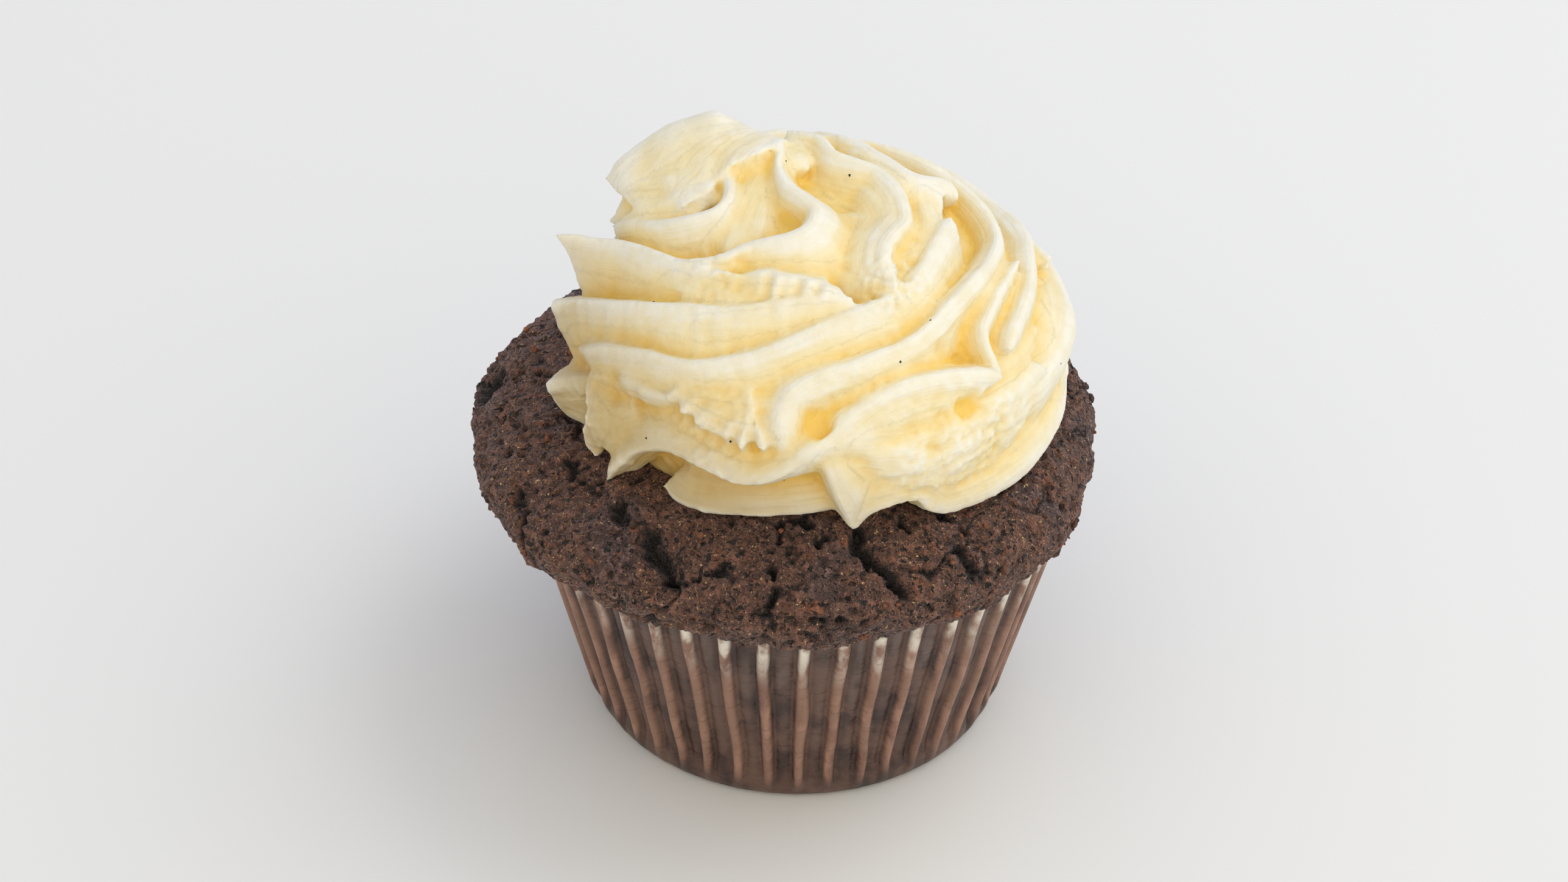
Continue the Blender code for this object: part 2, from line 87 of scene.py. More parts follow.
# %% Place the camera
CAMERA_PLACE = (0.0, -300.7, 263.8)
CAMERA_LENS = 72.7
CAMERA_FILM = 36.0
LOOK_DOWN_DEG = 37.33
LOOK_ASIDE_DEG = 0.34
CAMERA_ROLL_DEG = 1.11

camera = bpy.data.objects.new("camera", bpy.data.cameras.new("camera"))
bpy.context.scene.collection.objects.link(camera)
camera.data.lens = CAMERA_LENS
camera.data.sensor_width = CAMERA_FILM
camera.data.clip_start = 0.01
turned = Matrix.Rotation(math.radians(LOOK_ASIDE_DEG), 4, "Z")
tipped = Matrix.Rotation(math.radians(90 - LOOK_DOWN_DEG), 4, "X")
rolled = Matrix.Rotation(math.radians(CAMERA_ROLL_DEG), 4, "Z")
camera.matrix_world = Matrix.Translation(Vector(CAMERA_PLACE) * MM) @ turned @ tipped @ rolled
bpy.context.scene.camera = camera
print("camera at", [round(value, 4) for value in camera.location])

# %% [markdown]
# ## Floor and light
# A pale table carries the cupcake. The room itself is the main light: even all round, warmer
# from the front, brighter from the right and bluer from behind, as between a window and a warm
# wall. One large lamp above, to the right and a little behind, draws the ridges of the icing.

# %% Lay the floor
FLOOR_SIZE = 3000.0
FLOOR_COLOUR = (0.815, 0.815, 0.805, 1)

floor_mesh = bpy.data.meshes.new("floor")
half = FLOOR_SIZE / 2 * MM
floor_corners = [(-half, -half, 0), (half, -half, 0), (half, half, 0), (-half, half, 0)]
floor_mesh.from_pydata(floor_corners, [], [(0, 1, 2, 3)])
floor = bpy.data.objects.new("floor", floor_mesh)
bpy.context.scene.collection.objects.link(floor)
floor_paint = bpy.data.materials.new("pale table")
floor_paint.use_nodes = True
floor_shader = floor_paint.node_tree.nodes["Principled BSDF"]
floor_shader.inputs["Base Color"].default_value = FLOOR_COLOUR
floor_shader.inputs["Roughness"].default_value = 0.6
floor_mesh.materials.append(floor_paint)

# %% Hang the lamps
# Each lamp: place and size in millimetres, power in watts, colour.
LAMPS = {
    "window": ((330, 120, 600), 420, 0.85, (0.98, 0.99, 1.0)),
}
AIM = Vector((0, 0, 40)) * MM

for name, (place, size, power, colour) in LAMPS.items():
    lamp = bpy.data.objects.new(name, bpy.data.lights.new(name, "AREA"))
    bpy.context.scene.collection.objects.link(lamp)
    lamp.data.size = size * MM
    lamp.data.energy = power
    lamp.data.color = colour
    lamp.location = Vector(place) * MM
    lamp.rotation_euler = (AIM - lamp.location).to_track_quat("-Z", "Y").to_euler()

print("lamps:", ", ".join(LAMPS))

# %% Mix two colours


def add_mix(tree, mask, first, second, blend="MIX"):
    """Mixes two colours by a mask; each is a socket or a plain colour."""
    node = tree.nodes.new("ShaderNodeMix")
    node.data_type = "RGBA"
    node.blend_type = blend
    wanted = {"Factor": mask, "A": first, "B": second}
    sockets = {"Factor": node.inputs[0], "A": node.inputs[6], "B": node.inputs[7]}
    for name, value in wanted.items():
        if isinstance(value, bpy.types.NodeSocket):
            tree.links.new(value, sockets[name])
        elif isinstance(value, tuple):
            sockets[name].default_value = (*value, 1)
        else:
            sockets[name].default_value = value
    return node.outputs[2]


# %% Light the room
# Each wall: its axis, its side and the colour that it adds to the even light.
EVEN_LIGHT = (0.61, 0.625, 0.645)
WALLS = {
    "front": ("Y", -1, (0.84, 0.70, 0.45)),
    "right": ("X", 1, (0.50, 0.50, 0.48)),
    "back": ("Y", 1, (0.0, 0.05, 0.25)),
}

room = bpy.data.worlds.new("soft room")
room.use_nodes = True
room_tree = room.node_tree
towards = room_tree.nodes.new("ShaderNodeSeparateXYZ")
room_tree.links.new(room_tree.nodes.new("ShaderNodeTexCoord").outputs["Generated"], towards.inputs["Vector"])
glow = EVEN_LIGHT
for axis, side, colour in WALLS.values():
    facing = room_tree.nodes.new("ShaderNodeMath")
    facing.operation = "MULTIPLY"
    facing.use_clamp = True
    facing.inputs[1].default_value = side
    room_tree.links.new(towards.outputs[axis], facing.inputs[0])
    glow = add_mix(room_tree, facing.outputs["Value"], glow, colour, "ADD")
room_tree.links.new(glow, room_tree.nodes["Background"].inputs["Color"])
bpy.context.scene.world = room
bpy.context.scene.view_settings.view_transform = "Standard"
print("walls:", ", ".join(WALLS))

# %% [markdown]
# ## Round shapes
# Every piece is built round the upright axis, so one helper gives points from an angle, a
# radius and a height. The angle is 0 at the front and grows to the right. A second helper makes
# a smooth-shaded object from arrays of points and four-sided faces.

# %% Helpers for round shapes


def ring_points(azimuth, radius, height, centre_x=0.0):
    """Points round the upright axis, in millimetres; azimuth is in degrees."""
    turn, radius, height = np.broadcast_arrays(np.radians(azimuth), radius, height)
    return np.stack([centre_x + radius * np.sin(turn), -radius * np.cos(turn), height], axis=-1)


def piece_from(name, points, faces, material):
    """A smooth-shaded object from points in millimetres."""
    mesh = bpy.data.meshes.new(name)
    mesh.from_pydata((np.asarray(points) * MM).tolist(), [], np.asarray(faces).tolist())
    mesh.materials.append(material)
    mesh.shade_smooth()
    thing = bpy.data.objects.new(name, mesh)
    bpy.context.scene.collection.objects.link(thing)
    return thing


def skin_faces(levels, sides):
    """Four-sided faces between levels of a closed round skin."""
    level, side = np.meshgrid(np.arange(levels - 1), np.arange(sides), indexing="ij")
    following = (side + 1) % sides
    corners = [level * sides + side, level * sides + following]
    corners += [(level + 1) * sides + following, (level + 1) * sides + side]
    return np.stack(corners, axis=-1).reshape(-1, 4)


def new_material(name):
    """A material with its node tree, its shader and a helper that adds nodes."""
    material = bpy.data.materials.new(name)
    material.use_nodes = True
    tree = material.node_tree
    return material, tree, tree.nodes["Principled BSDF"]


def mark(thing, name, values):
    """Stores one number for each point of a piece, for its material to read."""
    layer = thing.data.attributes.new(name, "FLOAT", "POINT")
    layer.data.foreach_set("value", np.asarray(values, np.float32))


# %% [markdown]
# ## Surface helpers
# Crumb, paper and icing all need patches of uneven colour. A shader node group gives one mask
# from noise with a chosen size and contrast, and each material feeds it its own values.

# %% Build the patches group


def build_patches():
    """Noise turned into a mask from 0 to 1: size of the patches, detail and contrast are inputs."""
    group = bpy.data.node_groups.new("patches", "ShaderNodeTree")
    group.interface.new_socket("Vector", in_out="INPUT", socket_type="NodeSocketVector")
    for name, value in (("Scale", 500.0), ("Detail", 3.0), ("Low", 0.4), ("High", 0.6)):
        group.interface.new_socket(name, in_out="INPUT", socket_type="NodeSocketFloat").default_value = value
    group.interface.new_socket("Mask", in_out="OUTPUT", socket_type="NodeSocketFloat")
    inside = group.nodes.new("NodeGroupInput")
    outside = group.nodes.new("NodeGroupOutput")
    clouds = group.nodes.new("ShaderNodeTexNoise")
    spread = group.nodes.new("ShaderNodeMapRange")
    spread.interpolation_type = "SMOOTHSTEP"
    group.links.new(inside.outputs["Vector"], clouds.inputs["Vector"])
    group.links.new(inside.outputs["Scale"], clouds.inputs["Scale"])
    group.links.new(inside.outputs["Detail"], clouds.inputs["Detail"])
    group.links.new(clouds.outputs["Fac"], spread.inputs["Value"])
    group.links.new(inside.outputs["Low"], spread.inputs["From Min"])
    group.links.new(inside.outputs["High"], spread.inputs["From Max"])
    group.links.new(spread.outputs["Result"], outside.inputs["Mask"])
    return group


PATCHES = build_patches()


def add_patches(tree, vector, scale, detail, low, high):
    """One use of the patches group in a material; returns its mask."""
    node = tree.nodes.new("ShaderNodeGroup")
    node.node_tree = PATCHES
    tree.links.new(vector, node.inputs["Vector"])
    for name, value in (("Scale", scale), ("Detail", detail), ("Low", low), ("High", high)):
        node.inputs[name].default_value = value
    return node.outputs["Mask"]


def add_bump(tree, height, strength, distance_mm, normal=None):
    """A bump from a height; returns the bent normal."""
    node = tree.nodes.new("ShaderNodeBump")
    node.inputs["Strength"].default_value = strength
    node.inputs["Distance"].default_value = distance_mm * MM
    tree.links.new(height, node.inputs["Height"])
    if normal:
        tree.links.new(normal, node.inputs["Normal"])
    return node.outputs["Normal"]


def read_mark(tree, name):
    """The stored number of a point, as a socket."""
    node = tree.nodes.new("ShaderNodeAttribute")
    node.attribute_name = name
    return node.outputs["Fac"]


# %% [markdown]
# ## Paper case
# A baking case is one disc of greaseproof paper pressed into pleats. Where a pleat stands away
# from the cake it stays pale, and where its valley lies on the cake the butter soaks it dark.
# The wall is a skin of many levels whose radius rises at each crest. Crests wander a little and
# fade towards the base.

# %% Shape the paper case
PLEATS = 45
FIRST_CREST_DEG = 1.8
PLEAT_SAMPLES = 16
CASE_LEVELS = 34
PAPER = 0.3
BASE_RADIUS = 24.3
CORNER_RADIUS = 26.3
CORNER_HEIGHT = 3.0
PLEAT_DEPTH = 1.45
CREST_HALF_WIDTH = 0.22
CREST_WANDER = 0.13  # share of a pleat
CREST_SIZE = 0.95
CREST_SIZE_SPREAD = 0.3
CREST_SQUARENESS = 2.2
CREST_POWER = 0.8
CREST_SHARE = 0.9
VALLEY_SHARE = 0.92
VALLEY_BULGE = 0.35
FADE_START = 0.5
FADE_LENGTH = 5.0
LEVEL_CROWDING = 0.25  # how much closer the levels stand near the base


def wall_radius(height):
    """Radius of the wall at its crests: a rounded corner, then a straight slant to the rim."""
    corner = BASE_RADIUS + (CORNER_RADIUS - BASE_RADIUS) * np.sqrt(np.clip(height / CORNER_HEIGHT, 0, 1))
    rise = RIM_RADIUS - CORNER_RADIUS
    slant = CORNER_RADIUS + rise * (height - CORNER_HEIGHT) / (RIM_HEIGHT - CORNER_HEIGHT)
    return np.where(height < CORNER_HEIGHT, corner, slant)


def shape_case():
    """Points of the wall from base to rim, with how much crest, valley middle and height each has."""
    sides = PLEATS * PLEAT_SAMPLES
    share = np.linspace(0, 1, CASE_LEVELS)
    heights = (RIM_HEIGHT * (LEVEL_CROWDING * share**2 + (1 - LEVEL_CROWDING) * share))[:, None]
    place = np.arange(sides)[None, :] / PLEAT_SAMPLES
    pleat = np.round(place)
    index = pleat.astype(int)[0]
    crests = range(PLEATS + 1)
    wander = np.array(
        [[noise.noise(Vector((k * 3.1, h * 0.09, 0.0))) for k in crests] for h in heights[:, 0]]
    )
    uneven = np.array([noise.noise(Vector((k * 5.3, 7.0, 0.0))) for k in crests])
    size = CREST_SIZE + CREST_SIZE_SPREAD * uneven
    phase = np.abs(place - pleat - CREST_WANDER * wander[:, index])
    crest = np.clip(1 - (phase / CREST_HALF_WIDTH) ** CREST_SQUARENESS, 0, 1) ** CREST_POWER
    middle = np.clip((phase - CREST_HALF_WIDTH) / (0.5 - CREST_HALF_WIDTH), 0, 1)
    fade = np.clip((heights - FADE_START) / FADE_LENGTH, 0, 1)
    radius = wall_radius(heights) - VALLEY_SHARE * PLEAT_DEPTH * fade
    bulge = VALLEY_BULGE * np.sin(math.pi / 2 * middle)
    radius = radius + fade * (CREST_SHARE * PLEAT_DEPTH * size[index] * crest + bulge)
    azimuth = FIRST_CREST_DEG + place * 360 / PLEATS
    return ring_points(azimuth, radius, heights), crest * fade, middle, heights + 0 * crest


def build_case(material):
    """The pleated cup with a thin wall, closed across its base inside and out."""
    outside, crest, middle, heights = shape_case()
    sides = outside.shape[1]
    inward = outside * np.array([1, 1, 1]) * (1 - PAPER / RIM_RADIUS)
    inward[..., 2] = np.maximum(outside[..., 2], PAPER)
    foot = ring_points(np.arange(sides) * 360 / sides, 0.01, 0)[None]
    inner_foot = foot + (0, 0, PAPER)
    rings = np.concatenate([foot, outside, inward[::-1], inner_foot])
    case = piece_from("case", rings.reshape(-1, 3), skin_faces(len(rings), sides), material)
    none = np.zeros((1, sides))
    mark(case, "crest", np.concatenate([none, crest, crest[::-1], none]).ravel())
    mark(case, "middle", np.concatenate([none, middle, middle[::-1], none]).ravel())
    mark(case, "level", (np.concatenate([none, heights, heights[::-1], none]) / RIM_HEIGHT).ravel())
    return case


# %% [markdown]
# Greaseproof paper over a dark cake is brown and faintly glossy. Three marks place its colours:
# the flanks of a pleat are nearly black, the crest is an unsoaked light brown with white
# highlights painted in patches near the rim, and the middle of a valley is painted grey in its
# upper half as a reflected sheen on the grease-soaked paper.

# %% Paint the paper


def add_range(tree, value, low, high, curve="SMOOTHSTEP"):
    """A value spread from 0 to 1 between low and high, smoothly unless another curve is given."""
    node = tree.nodes.new("ShaderNodeMapRange")
    node.interpolation_type = curve
    node.inputs["From Min"].default_value = low
    node.inputs["From Max"].default_value = high
    tree.links.new(value, node.inputs["Value"])
    return node.outputs["Result"]


def add_product(tree, first, second):
    """Two masks multiplied."""
    node = tree.nodes.new("ShaderNodeMath")
    node.operation = "MULTIPLY"
    tree.links.new(first, node.inputs[0])
    tree.links.new(second, node.inputs[1])
    return node.outputs["Value"]


def add_stretch(tree, vector, scale):
    """Coordinates stretched by a scale for each axis."""
    node = tree.nodes.new("ShaderNodeMapping")
    node.inputs["Scale"].default_value = scale
    tree.links.new(vector, node.inputs["Vector"])
    return node.outputs["Vector"]


def paint_paper():
    """Soaked baking paper: dark glossy valleys and pale unsoaked crests, with painted sheen and highlights.
    """
    material, tree, shader = new_material("soaked paper")
    place = tree.nodes.new("ShaderNodeTexCoord").outputs["Object"]
    streaks = add_patches(tree, add_stretch(tree, place, (1, 1, 0.3)), 420, 4, 0.35, 0.68)
    blots = add_patches(tree, place, 170, 4, 0.42, 0.62)
    crinkles = add_patches(tree, add_stretch(tree, place, (0.6, 0.6, 2)), 330, 3, 0.44, 0.60)
    crest, level, middle = read_mark(tree, "crest"), read_mark(tree, "level"), read_mark(tree, "middle")
    # Painted reflection: the middle of each valley turns grey in its upper half, as a sheen on the soaked
    # paper.
    painted_sheen = add_product(tree, add_range(tree, middle, 0.25, 0.8), add_range(tree, level, 0.35, 0.8))
    valley = add_mix(tree, streaks, (0.030, 0.012, 0.009), (0.085, 0.041, 0.028))
    valley = add_mix(tree, blots, valley, (0.115, 0.060, 0.042))
    valley = add_mix(tree, add_product(tree, painted_sheen, streaks), valley, (0.115, 0.080, 0.068))
    ridge = add_mix(tree, streaks, (0.16, 0.075, 0.050), (0.34, 0.185, 0.130))
    ridge = add_mix(tree, blots, ridge, (0.24, 0.130, 0.085))
    # Painted highlights: white patches on the crests in the top third of the wall, where the paper crinkles.
    highlight_patches = add_patches(tree, add_stretch(tree, place, (1, 1, 0.5)), 560, 4, 0.36, 0.60)
    rim_highlights = add_product(tree, add_range(tree, level, 0.68, 1.0), highlight_patches)
    ridge = add_mix(tree, rim_highlights, ridge, (0.74, 0.69, 0.60))
    colour = add_mix(tree, add_range(tree, crest, 0.25, 0.85), valley, ridge)
    tree.links.new(colour, shader.inputs["Base Color"])
    shader.inputs["Roughness"].default_value = 0.40
    creased = add_bump(tree, crinkles, 0.5, 0.25)
    fine = add_patches(tree, place, 900, 3, 0.3, 0.7)
    tree.links.new(add_bump(tree, fine, 0.3, 0.1, creased), shader.inputs["Normal"])
    return material


case = build_case(paint_paper())
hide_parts("paper_case")
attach(case, "root")
print("case:", len(case.data.vertices), "points")

# %% [markdown]
# ## Sponge
# The cake rose over the rim and set as a rounded lip with a low dome. Its crust is torn into
# crumb, with pores, lumps and a few deep cracks. The skin starts from the same round outline
# as the solid, on a grid fine enough for pores, and every point then moves along its normal.

# %% Outline of the cake
LIP_RADIUS = 37.2
LIP_HEIGHT = 36.8
LIP_DROP = 4.6
DOME_RISE = CROWN_HEIGHT - LIP_HEIGHT
CAKE_SIDES = 860
UNDER_LEVELS = 22
DOME_LEVELS = 60
HIDDEN_LEVELS = 6
PLUG_FOOT = 0.8
PLUG_INSET = 2.2
UNDER_INSET = 1.0
UNDER_POWER = 0.7
SEEN_SHARE = 0.53  # share of the dome's quarter turn that the icing leaves in sight
SEEN_CROWDING = 1.2


def lip_unevenness(azimuth):
    """How far the lip of the cake stands out of round, in millimetres."""
    turn = np.radians(azimuth)
    return (
        0.5 * np.cos(2 * turn + 0.9)
        + 0.35 * np.sin(3 * turn - 0.4)
        + 0.25 * np.sin(7 * turn + 1.3)
        + 0.2 * np.cos(11 * turn)
    )


def cake_rings():
    """The smooth skin of the cake: up the plug, round the lip and over the dome."""
    azimuth = np.arange(CAKE_SIDES) * 360 / CAKE_SIDES
    wide = LIP_RADIUS + lip_unevenness(azimuth)
    shift = CAKE_MIDDLE_X
    rings = [ring_points(azimuth, radius, PLUG_FOOT) for radius in (0.01, BASE_RADIUS - 3)]
    rings.append(ring_points(azimuth, RIM_RADIUS - PLUG_INSET, RIM_HEIGHT + 0.2))
    for lean in np.linspace(math.pi / 2, 0, UNDER_LEVELS, endpoint=False):
        overhang = wide - RIM_RADIUS + UNDER_INSET
        radius = RIM_RADIUS - UNDER_INSET + overhang * math.cos(lean) ** UNDER_POWER
        height = LIP_HEIGHT - LIP_DROP * math.sin(lean)
        level = lean / (math.pi / 2)
        rings.append(ring_points(azimuth, radius, height, shift * (1 - level)))
    seen = np.linspace(0, 1, DOME_LEVELS)
    shown = SEEN_SHARE * (1 - (1 - seen) ** SEEN_CROWDING)
    reach = np.concatenate([shown, np.linspace(SEEN_SHARE, 1, HIDDEN_LEVELS + 1)[1:-1]])
    for lean in reach * math.pi / 2:
        height = LIP_HEIGHT + DOME_RISE * math.sin(lean)
        rings.append(ring_points(azimuth, wide * math.cos(lean), height, shift))
    rings.append(ring_points(azimuth, 0.01, LIP_HEIGHT + DOME_RISE, shift))
    return np.stack(rings)


# %% [markdown]
# Cracks are drawn as short routes over the crust, each with a width and a depth. A point sinks
# by how near it lies to a route, and noise bends that distance so that no crack runs straight.
# Finer cracks come from noise alone: where it changes sign, the crust is torn.

# %% Cracks in the crust
# Each crack: width, depth, and its route as (degrees to the right of the front, radius, height).
CRACKS = [
    (0.45, 2.4, [(0, 26.8, 44), (-1, 29, 43.3), (-2, 30.8, 42.6), (-2, 33.2, 41.5),
                 (-1, 35.2, 40.2), (-2, 36.6, 38.7)]),
    (0.40, 1.4, [(0, 27.3, 43.9), (3, 26.6, 44.1), (7, 27.7, 43.8)]),
    (0.95, 2.8, [(-28, 31.7, 42.3), (-25, 33.1, 41.6), (-22, 34.3, 40.9), (-21, 35.2, 40.1)]),
    (0.40, 1.5, [(-22, 35.7, 39.8), (-17, 35.2, 40.2), (-14, 34.2, 40.9), (-10, 33.3, 41.4)]),
    (0.80, 1.8, [(-37, 30.2, 42.9), (-34, 30.9, 42.6)]),
    (0.60, 2.4, [(17, 28.8, 43.4), (15, 30.5, 42.8), (17, 32.2, 42), (19, 33.7, 41.2), (22, 36.1, 39.3)]),
    (0.50, 1.6, [(3, 34.4, 40.7), (5, 34, 41), (7, 33.8, 41.1)]),
    (0.50, 1.5, [(7, 30, 43), (10, 29.4, 43.1)]),
    (0.45, 1.4, [(35, 34.2, 40.9), (36, 36.8, 38.3)]),
    (0.70, 1.8, [(-58, 35.3, 40.1), (-54, 36.3, 39), (-51, 37.1, 37.3)]),
    (0.50, 1.2, [(-56, 29.5, 43.1), (-50, 30.3, 42.8), (-50, 31.2, 42.5)]),
    (0.45, 1.2, [(27, 29, 43.3), (28, 30.4, 42.8)]),
    (0.45, 1.3, [(36, 29.1, 43.3), (39, 32.6, 41.8)]),
    (0.40, 1.2, [(-4, 36.8, 38.3), (0, 37, 38), (5, 36.8, 38.3), (10, 37.1, 37.6)]),
    (1.60, 2.2, [(-96, 35.7, 39.8), (-93, 36.5, 39)]),
]


def near_route(points, route):
    """Distance from each point to a route over the crust."""
    corners = ring_points(*np.array(route, float).T, CAKE_MIDDLE_X)
    nearest = np.full(len(points), np.inf)
    for start, end in zip(corners, corners[1:]):
        along = end - start
        share = np.clip(((points - start) @ along) / (along @ along), 0, 1)
        gap = np.linalg.norm(points - start - share[:, None] * along, axis=1)
        nearest = np.minimum(nearest, gap)
    return nearest


# %% Crumb of the cake


def noise_at(points, size, seed=0.0, octaves=1):
    """Smooth noise from -1 to 1 at each point, for features of a size in millimetres."""
    shift = Vector((seed, seed * 0.7, -seed))
    scaled = [Vector(point) / size + shift for point in points]
    if octaves == 1:
        return np.array([noise.noise(point) for point in scaled])
    return np.array([noise.fractal(point, 1.0, 2.0, octaves) for point in scaled])


def pore_at(points, size, seed):
    """Distance to the nearest pore's centre, in units of the pores' spacing."""
    shift = Vector((seed, -seed, seed * 0.3))
    return np.array([noise.voronoi(Vector(point) / size + shift)[0][0] for point in points])


CELL_SIZE = 1.1
PORE_SPACING = 1.6
PORE_REACH = 0.40
TEAR_SPACING = 8.0
TEAR_WIDTH = 0.05
GRIT_DEPTH = 0.26
CELL_DEPTH = 0.42
PORE_DEPTH = 0.85
TEAR_DEPTH = 0.7
# How much a crack adds to the sunk mark, which the crumb paints as shade.
CRACK_SHADE = 1.2


def crumble(points, normals):
    """Moves the cake's visible skin; returns the points and how sunk each one is."""
    lumps = 0.75 * noise_at(points, 7.0, 3.0) + 0.5 * noise_at(points, 3.0, 9.0)
    grit = noise_at(points, 0.75, 21.0, 2)
    cells = pore_at(points, CELL_SIZE, 5.0)
    airy = np.clip(0.55 + 1.6 * noise_at(points, 4.5, 31.0), 0, 1)
    pores = np.clip(1 - pore_at(points, PORE_SPACING, 8.0) / PORE_REACH, 0, 1) ** 0.7 * airy
    torn = noise_at(points, TEAR_SPACING, 51.0, 3)
    tears = np.exp(-((torn / TEAR_WIDTH) ** 2)) * np.clip(2.5 * noise_at(points, 11.0, 61.0) + 0.3, 0, 1)
    bend = 0.8 * noise_at(points, 2.2, 41.0, 2) + 0.35 * grit
    offset = lumps + GRIT_DEPTH * grit + CELL_DEPTH * (0.5 - cells) - PORE_DEPTH * pores
    offset = offset - TEAR_DEPTH * tears
    # The sunk mark: pores, tears, low grit, open cells and cracks, later painted dark as shade.
    sunk = 0.8 * pores + 0.6 * tears + 0.5 * np.clip(-grit, 0, 1) + 0.7 * np.clip(cells - 0.5, 0, 1)
    for width, depth, route in CRACKS:
        groove = np.exp(-((np.abs(near_route(points, route) + bend) / width) ** 2))
        offset -= depth * groove
        sunk += CRACK_SHADE * groove
    return points + normals * offset[:, None], np.clip(sunk, 0, 1)


def build_cake(material):
    """The cake as one closed skin."""
    rings = cake_rings()
    levels, sides = rings.shape[:2]
    around = np.roll(rings, -1, axis=1) - np.roll(rings, 1, axis=1)
    upward = np.gradient(rings, axis=0)
    normals = np.cross(around, upward)
    normals /= np.linalg.norm(normals, axis=2, keepdims=True) + 1e-9
    first, last = 3, levels - HIDDEN_LEVELS
    shown = rings[first:last].reshape(-1, 3)
    moved, sunk = crumble(shown, normals[first:last].reshape(-1, 3))
    rings[first:last] = moved.reshape(last - first, sides, 3)
    cake = piece_from("sponge", rings.reshape(-1, 3), skin_faces(levels, sides), material)
    marks = np.zeros((levels, sides))
    marks[first:last] = sunk.reshape(last - first, sides)
    mark(cake, "sunk", marks.ravel())
    return cake


# %% [markdown]
# Chocolate crumb is red-brown on its lumps. Noise from the size of a crumb down to a grain mixes
# the browns. Broad grey patches stand both for dried, dust-covered crust and for a painted grey
# sheen, and a few grain-sized spots are painted golden as glints. Shade is painted too: small
# pits turn nearly black, and the stored depth darkens the pores and the cracks.

# %% Paint the crumb


def paint_crumb():
    """Open, dark chocolate crumb."""
    material, tree, shader = new_material("chocolate crumb")
    place = tree.nodes.new("ShaderNodeTexCoord").outputs["Object"]
    crumb = add_patches(tree, place, 1000, 5, 0.36, 0.66)
    grain = add_patches(tree, place, 3400, 2, 0.44, 0.72)
    dust_and_grey_sheen = add_patches(tree, place, 75, 3, 0.52, 0.66)
    rusty = add_patches(tree, place, 420, 3, 0.60, 0.68)
    painted_glints = add_patches(tree, place, 2200, 2, 0.67, 0.71)
    pits = add_patches(tree, place, 1500, 1, 0.60, 0.66)
    brown = add_mix(tree, crumb, (0.048, 0.019, 0.012), (0.175, 0.075, 0.046))
    brown = add_mix(tree, grain, brown, (0.34, 0.160, 0.100))
    grey = add_mix(tree, crumb, (0.045, 0.022, 0.020), (0.190, 0.106, 0.094))
    # Grey patches: partly dried dust on the crust, partly a painted grey sheen.
    brown = add_mix(tree, dust_and_grey_sheen, brown, grey)
    brown = add_mix(tree, rusty, brown, (0.21, 0.075, 0.036))
    # Painted highlights: a few tiny golden spots stand for glints.
    brown = add_mix(tree, painted_glints, brown, (0.62, 0.43, 0.18))
    # Painted shade: small pits turn nearly black.
    brown = add_mix(tree, pits, brown, (0.005, 0.003, 0.002))
    # Painted shade: the stored depth darkens the pores and the cracks nearly to black.
    sunk = add_range(tree, read_mark(tree, "sunk"), 0.15, 0.75, "LINEAR")
    tree.links.new(add_mix(tree, sunk, brown, (0.006, 0.003, 0.002)), shader.inputs["Base Color"])
    shader.inputs["Roughness"].default_value = 0.6
    shader.inputs["Specular IOR Level"].default_value = 0.4
    shader.inputs["Sheen Weight"].default_value = 0.22
    shader.inputs["Sheen Roughness"].default_value = 0.4
    shader.inputs["Sheen Tint"].default_value = (0.85, 0.72, 0.74, 1)
    pitted = add_bump(tree, pits, 1.0, -0.5)
    rough = add_bump(tree, crumb, 0.9, 0.4, pitted)
    tree.links.new(add_bump(tree, grain, 1.0, 0.3, rough), shader.inputs["Normal"])
    return material


crumb_look = paint_crumb()
cake = build_cake(crumb_look)
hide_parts("cake")
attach(cake, "root")
print("cake:", len(cake.data.vertices), "points")

# %% [markdown]
# ## Buttercream
# The swirl was piped from a fluted nozzle that went round and inwards, so its surface is a
# family of ridges that climb round a dome. Each ridge is a blade swept along its crest. A plain
# dome fills the middle, one skin is wrapped round all of it, and the skin is then softened and
# combed along the way that the icing flowed.

# %% Routes of the ridges
ICING_X = 0.6
ICING_RADIUS = 30.3
ICING_WIDEST = 50.0
ICING_TOP = 72.5
CORE_INSET = 4.4
CROWN_INSET = 3.0
CORE_FOOT = 39.0


def ridge(route, above, below, full=0.3, lean=0, torn=0.0, ends=(4, 4)):
    """One ridge of the swirl.

    route: the crest, as (degrees to the right of the front, radius, height).
    above, below: (width, depth) of each flank, spread evenly along the route.
    full: 0 for hollow flanks and 1 for rounded ones. lean: degrees that the crest tips upwards.
    torn: how ragged the crest is. ends: the length over which each end grows from a point.
    """
    return {
        "route": route,
        "above": above,
        "below": below,
        "full": full,
        "lean": lean,
        "torn": torn,
        "ends": ends,
    }


def packing(route):
    """A low, broad ridge that fills a valley between others."""
    return ridge(route, above=[(4, 1)], below=[(4, 1)], full=1, ends=(5, 5))


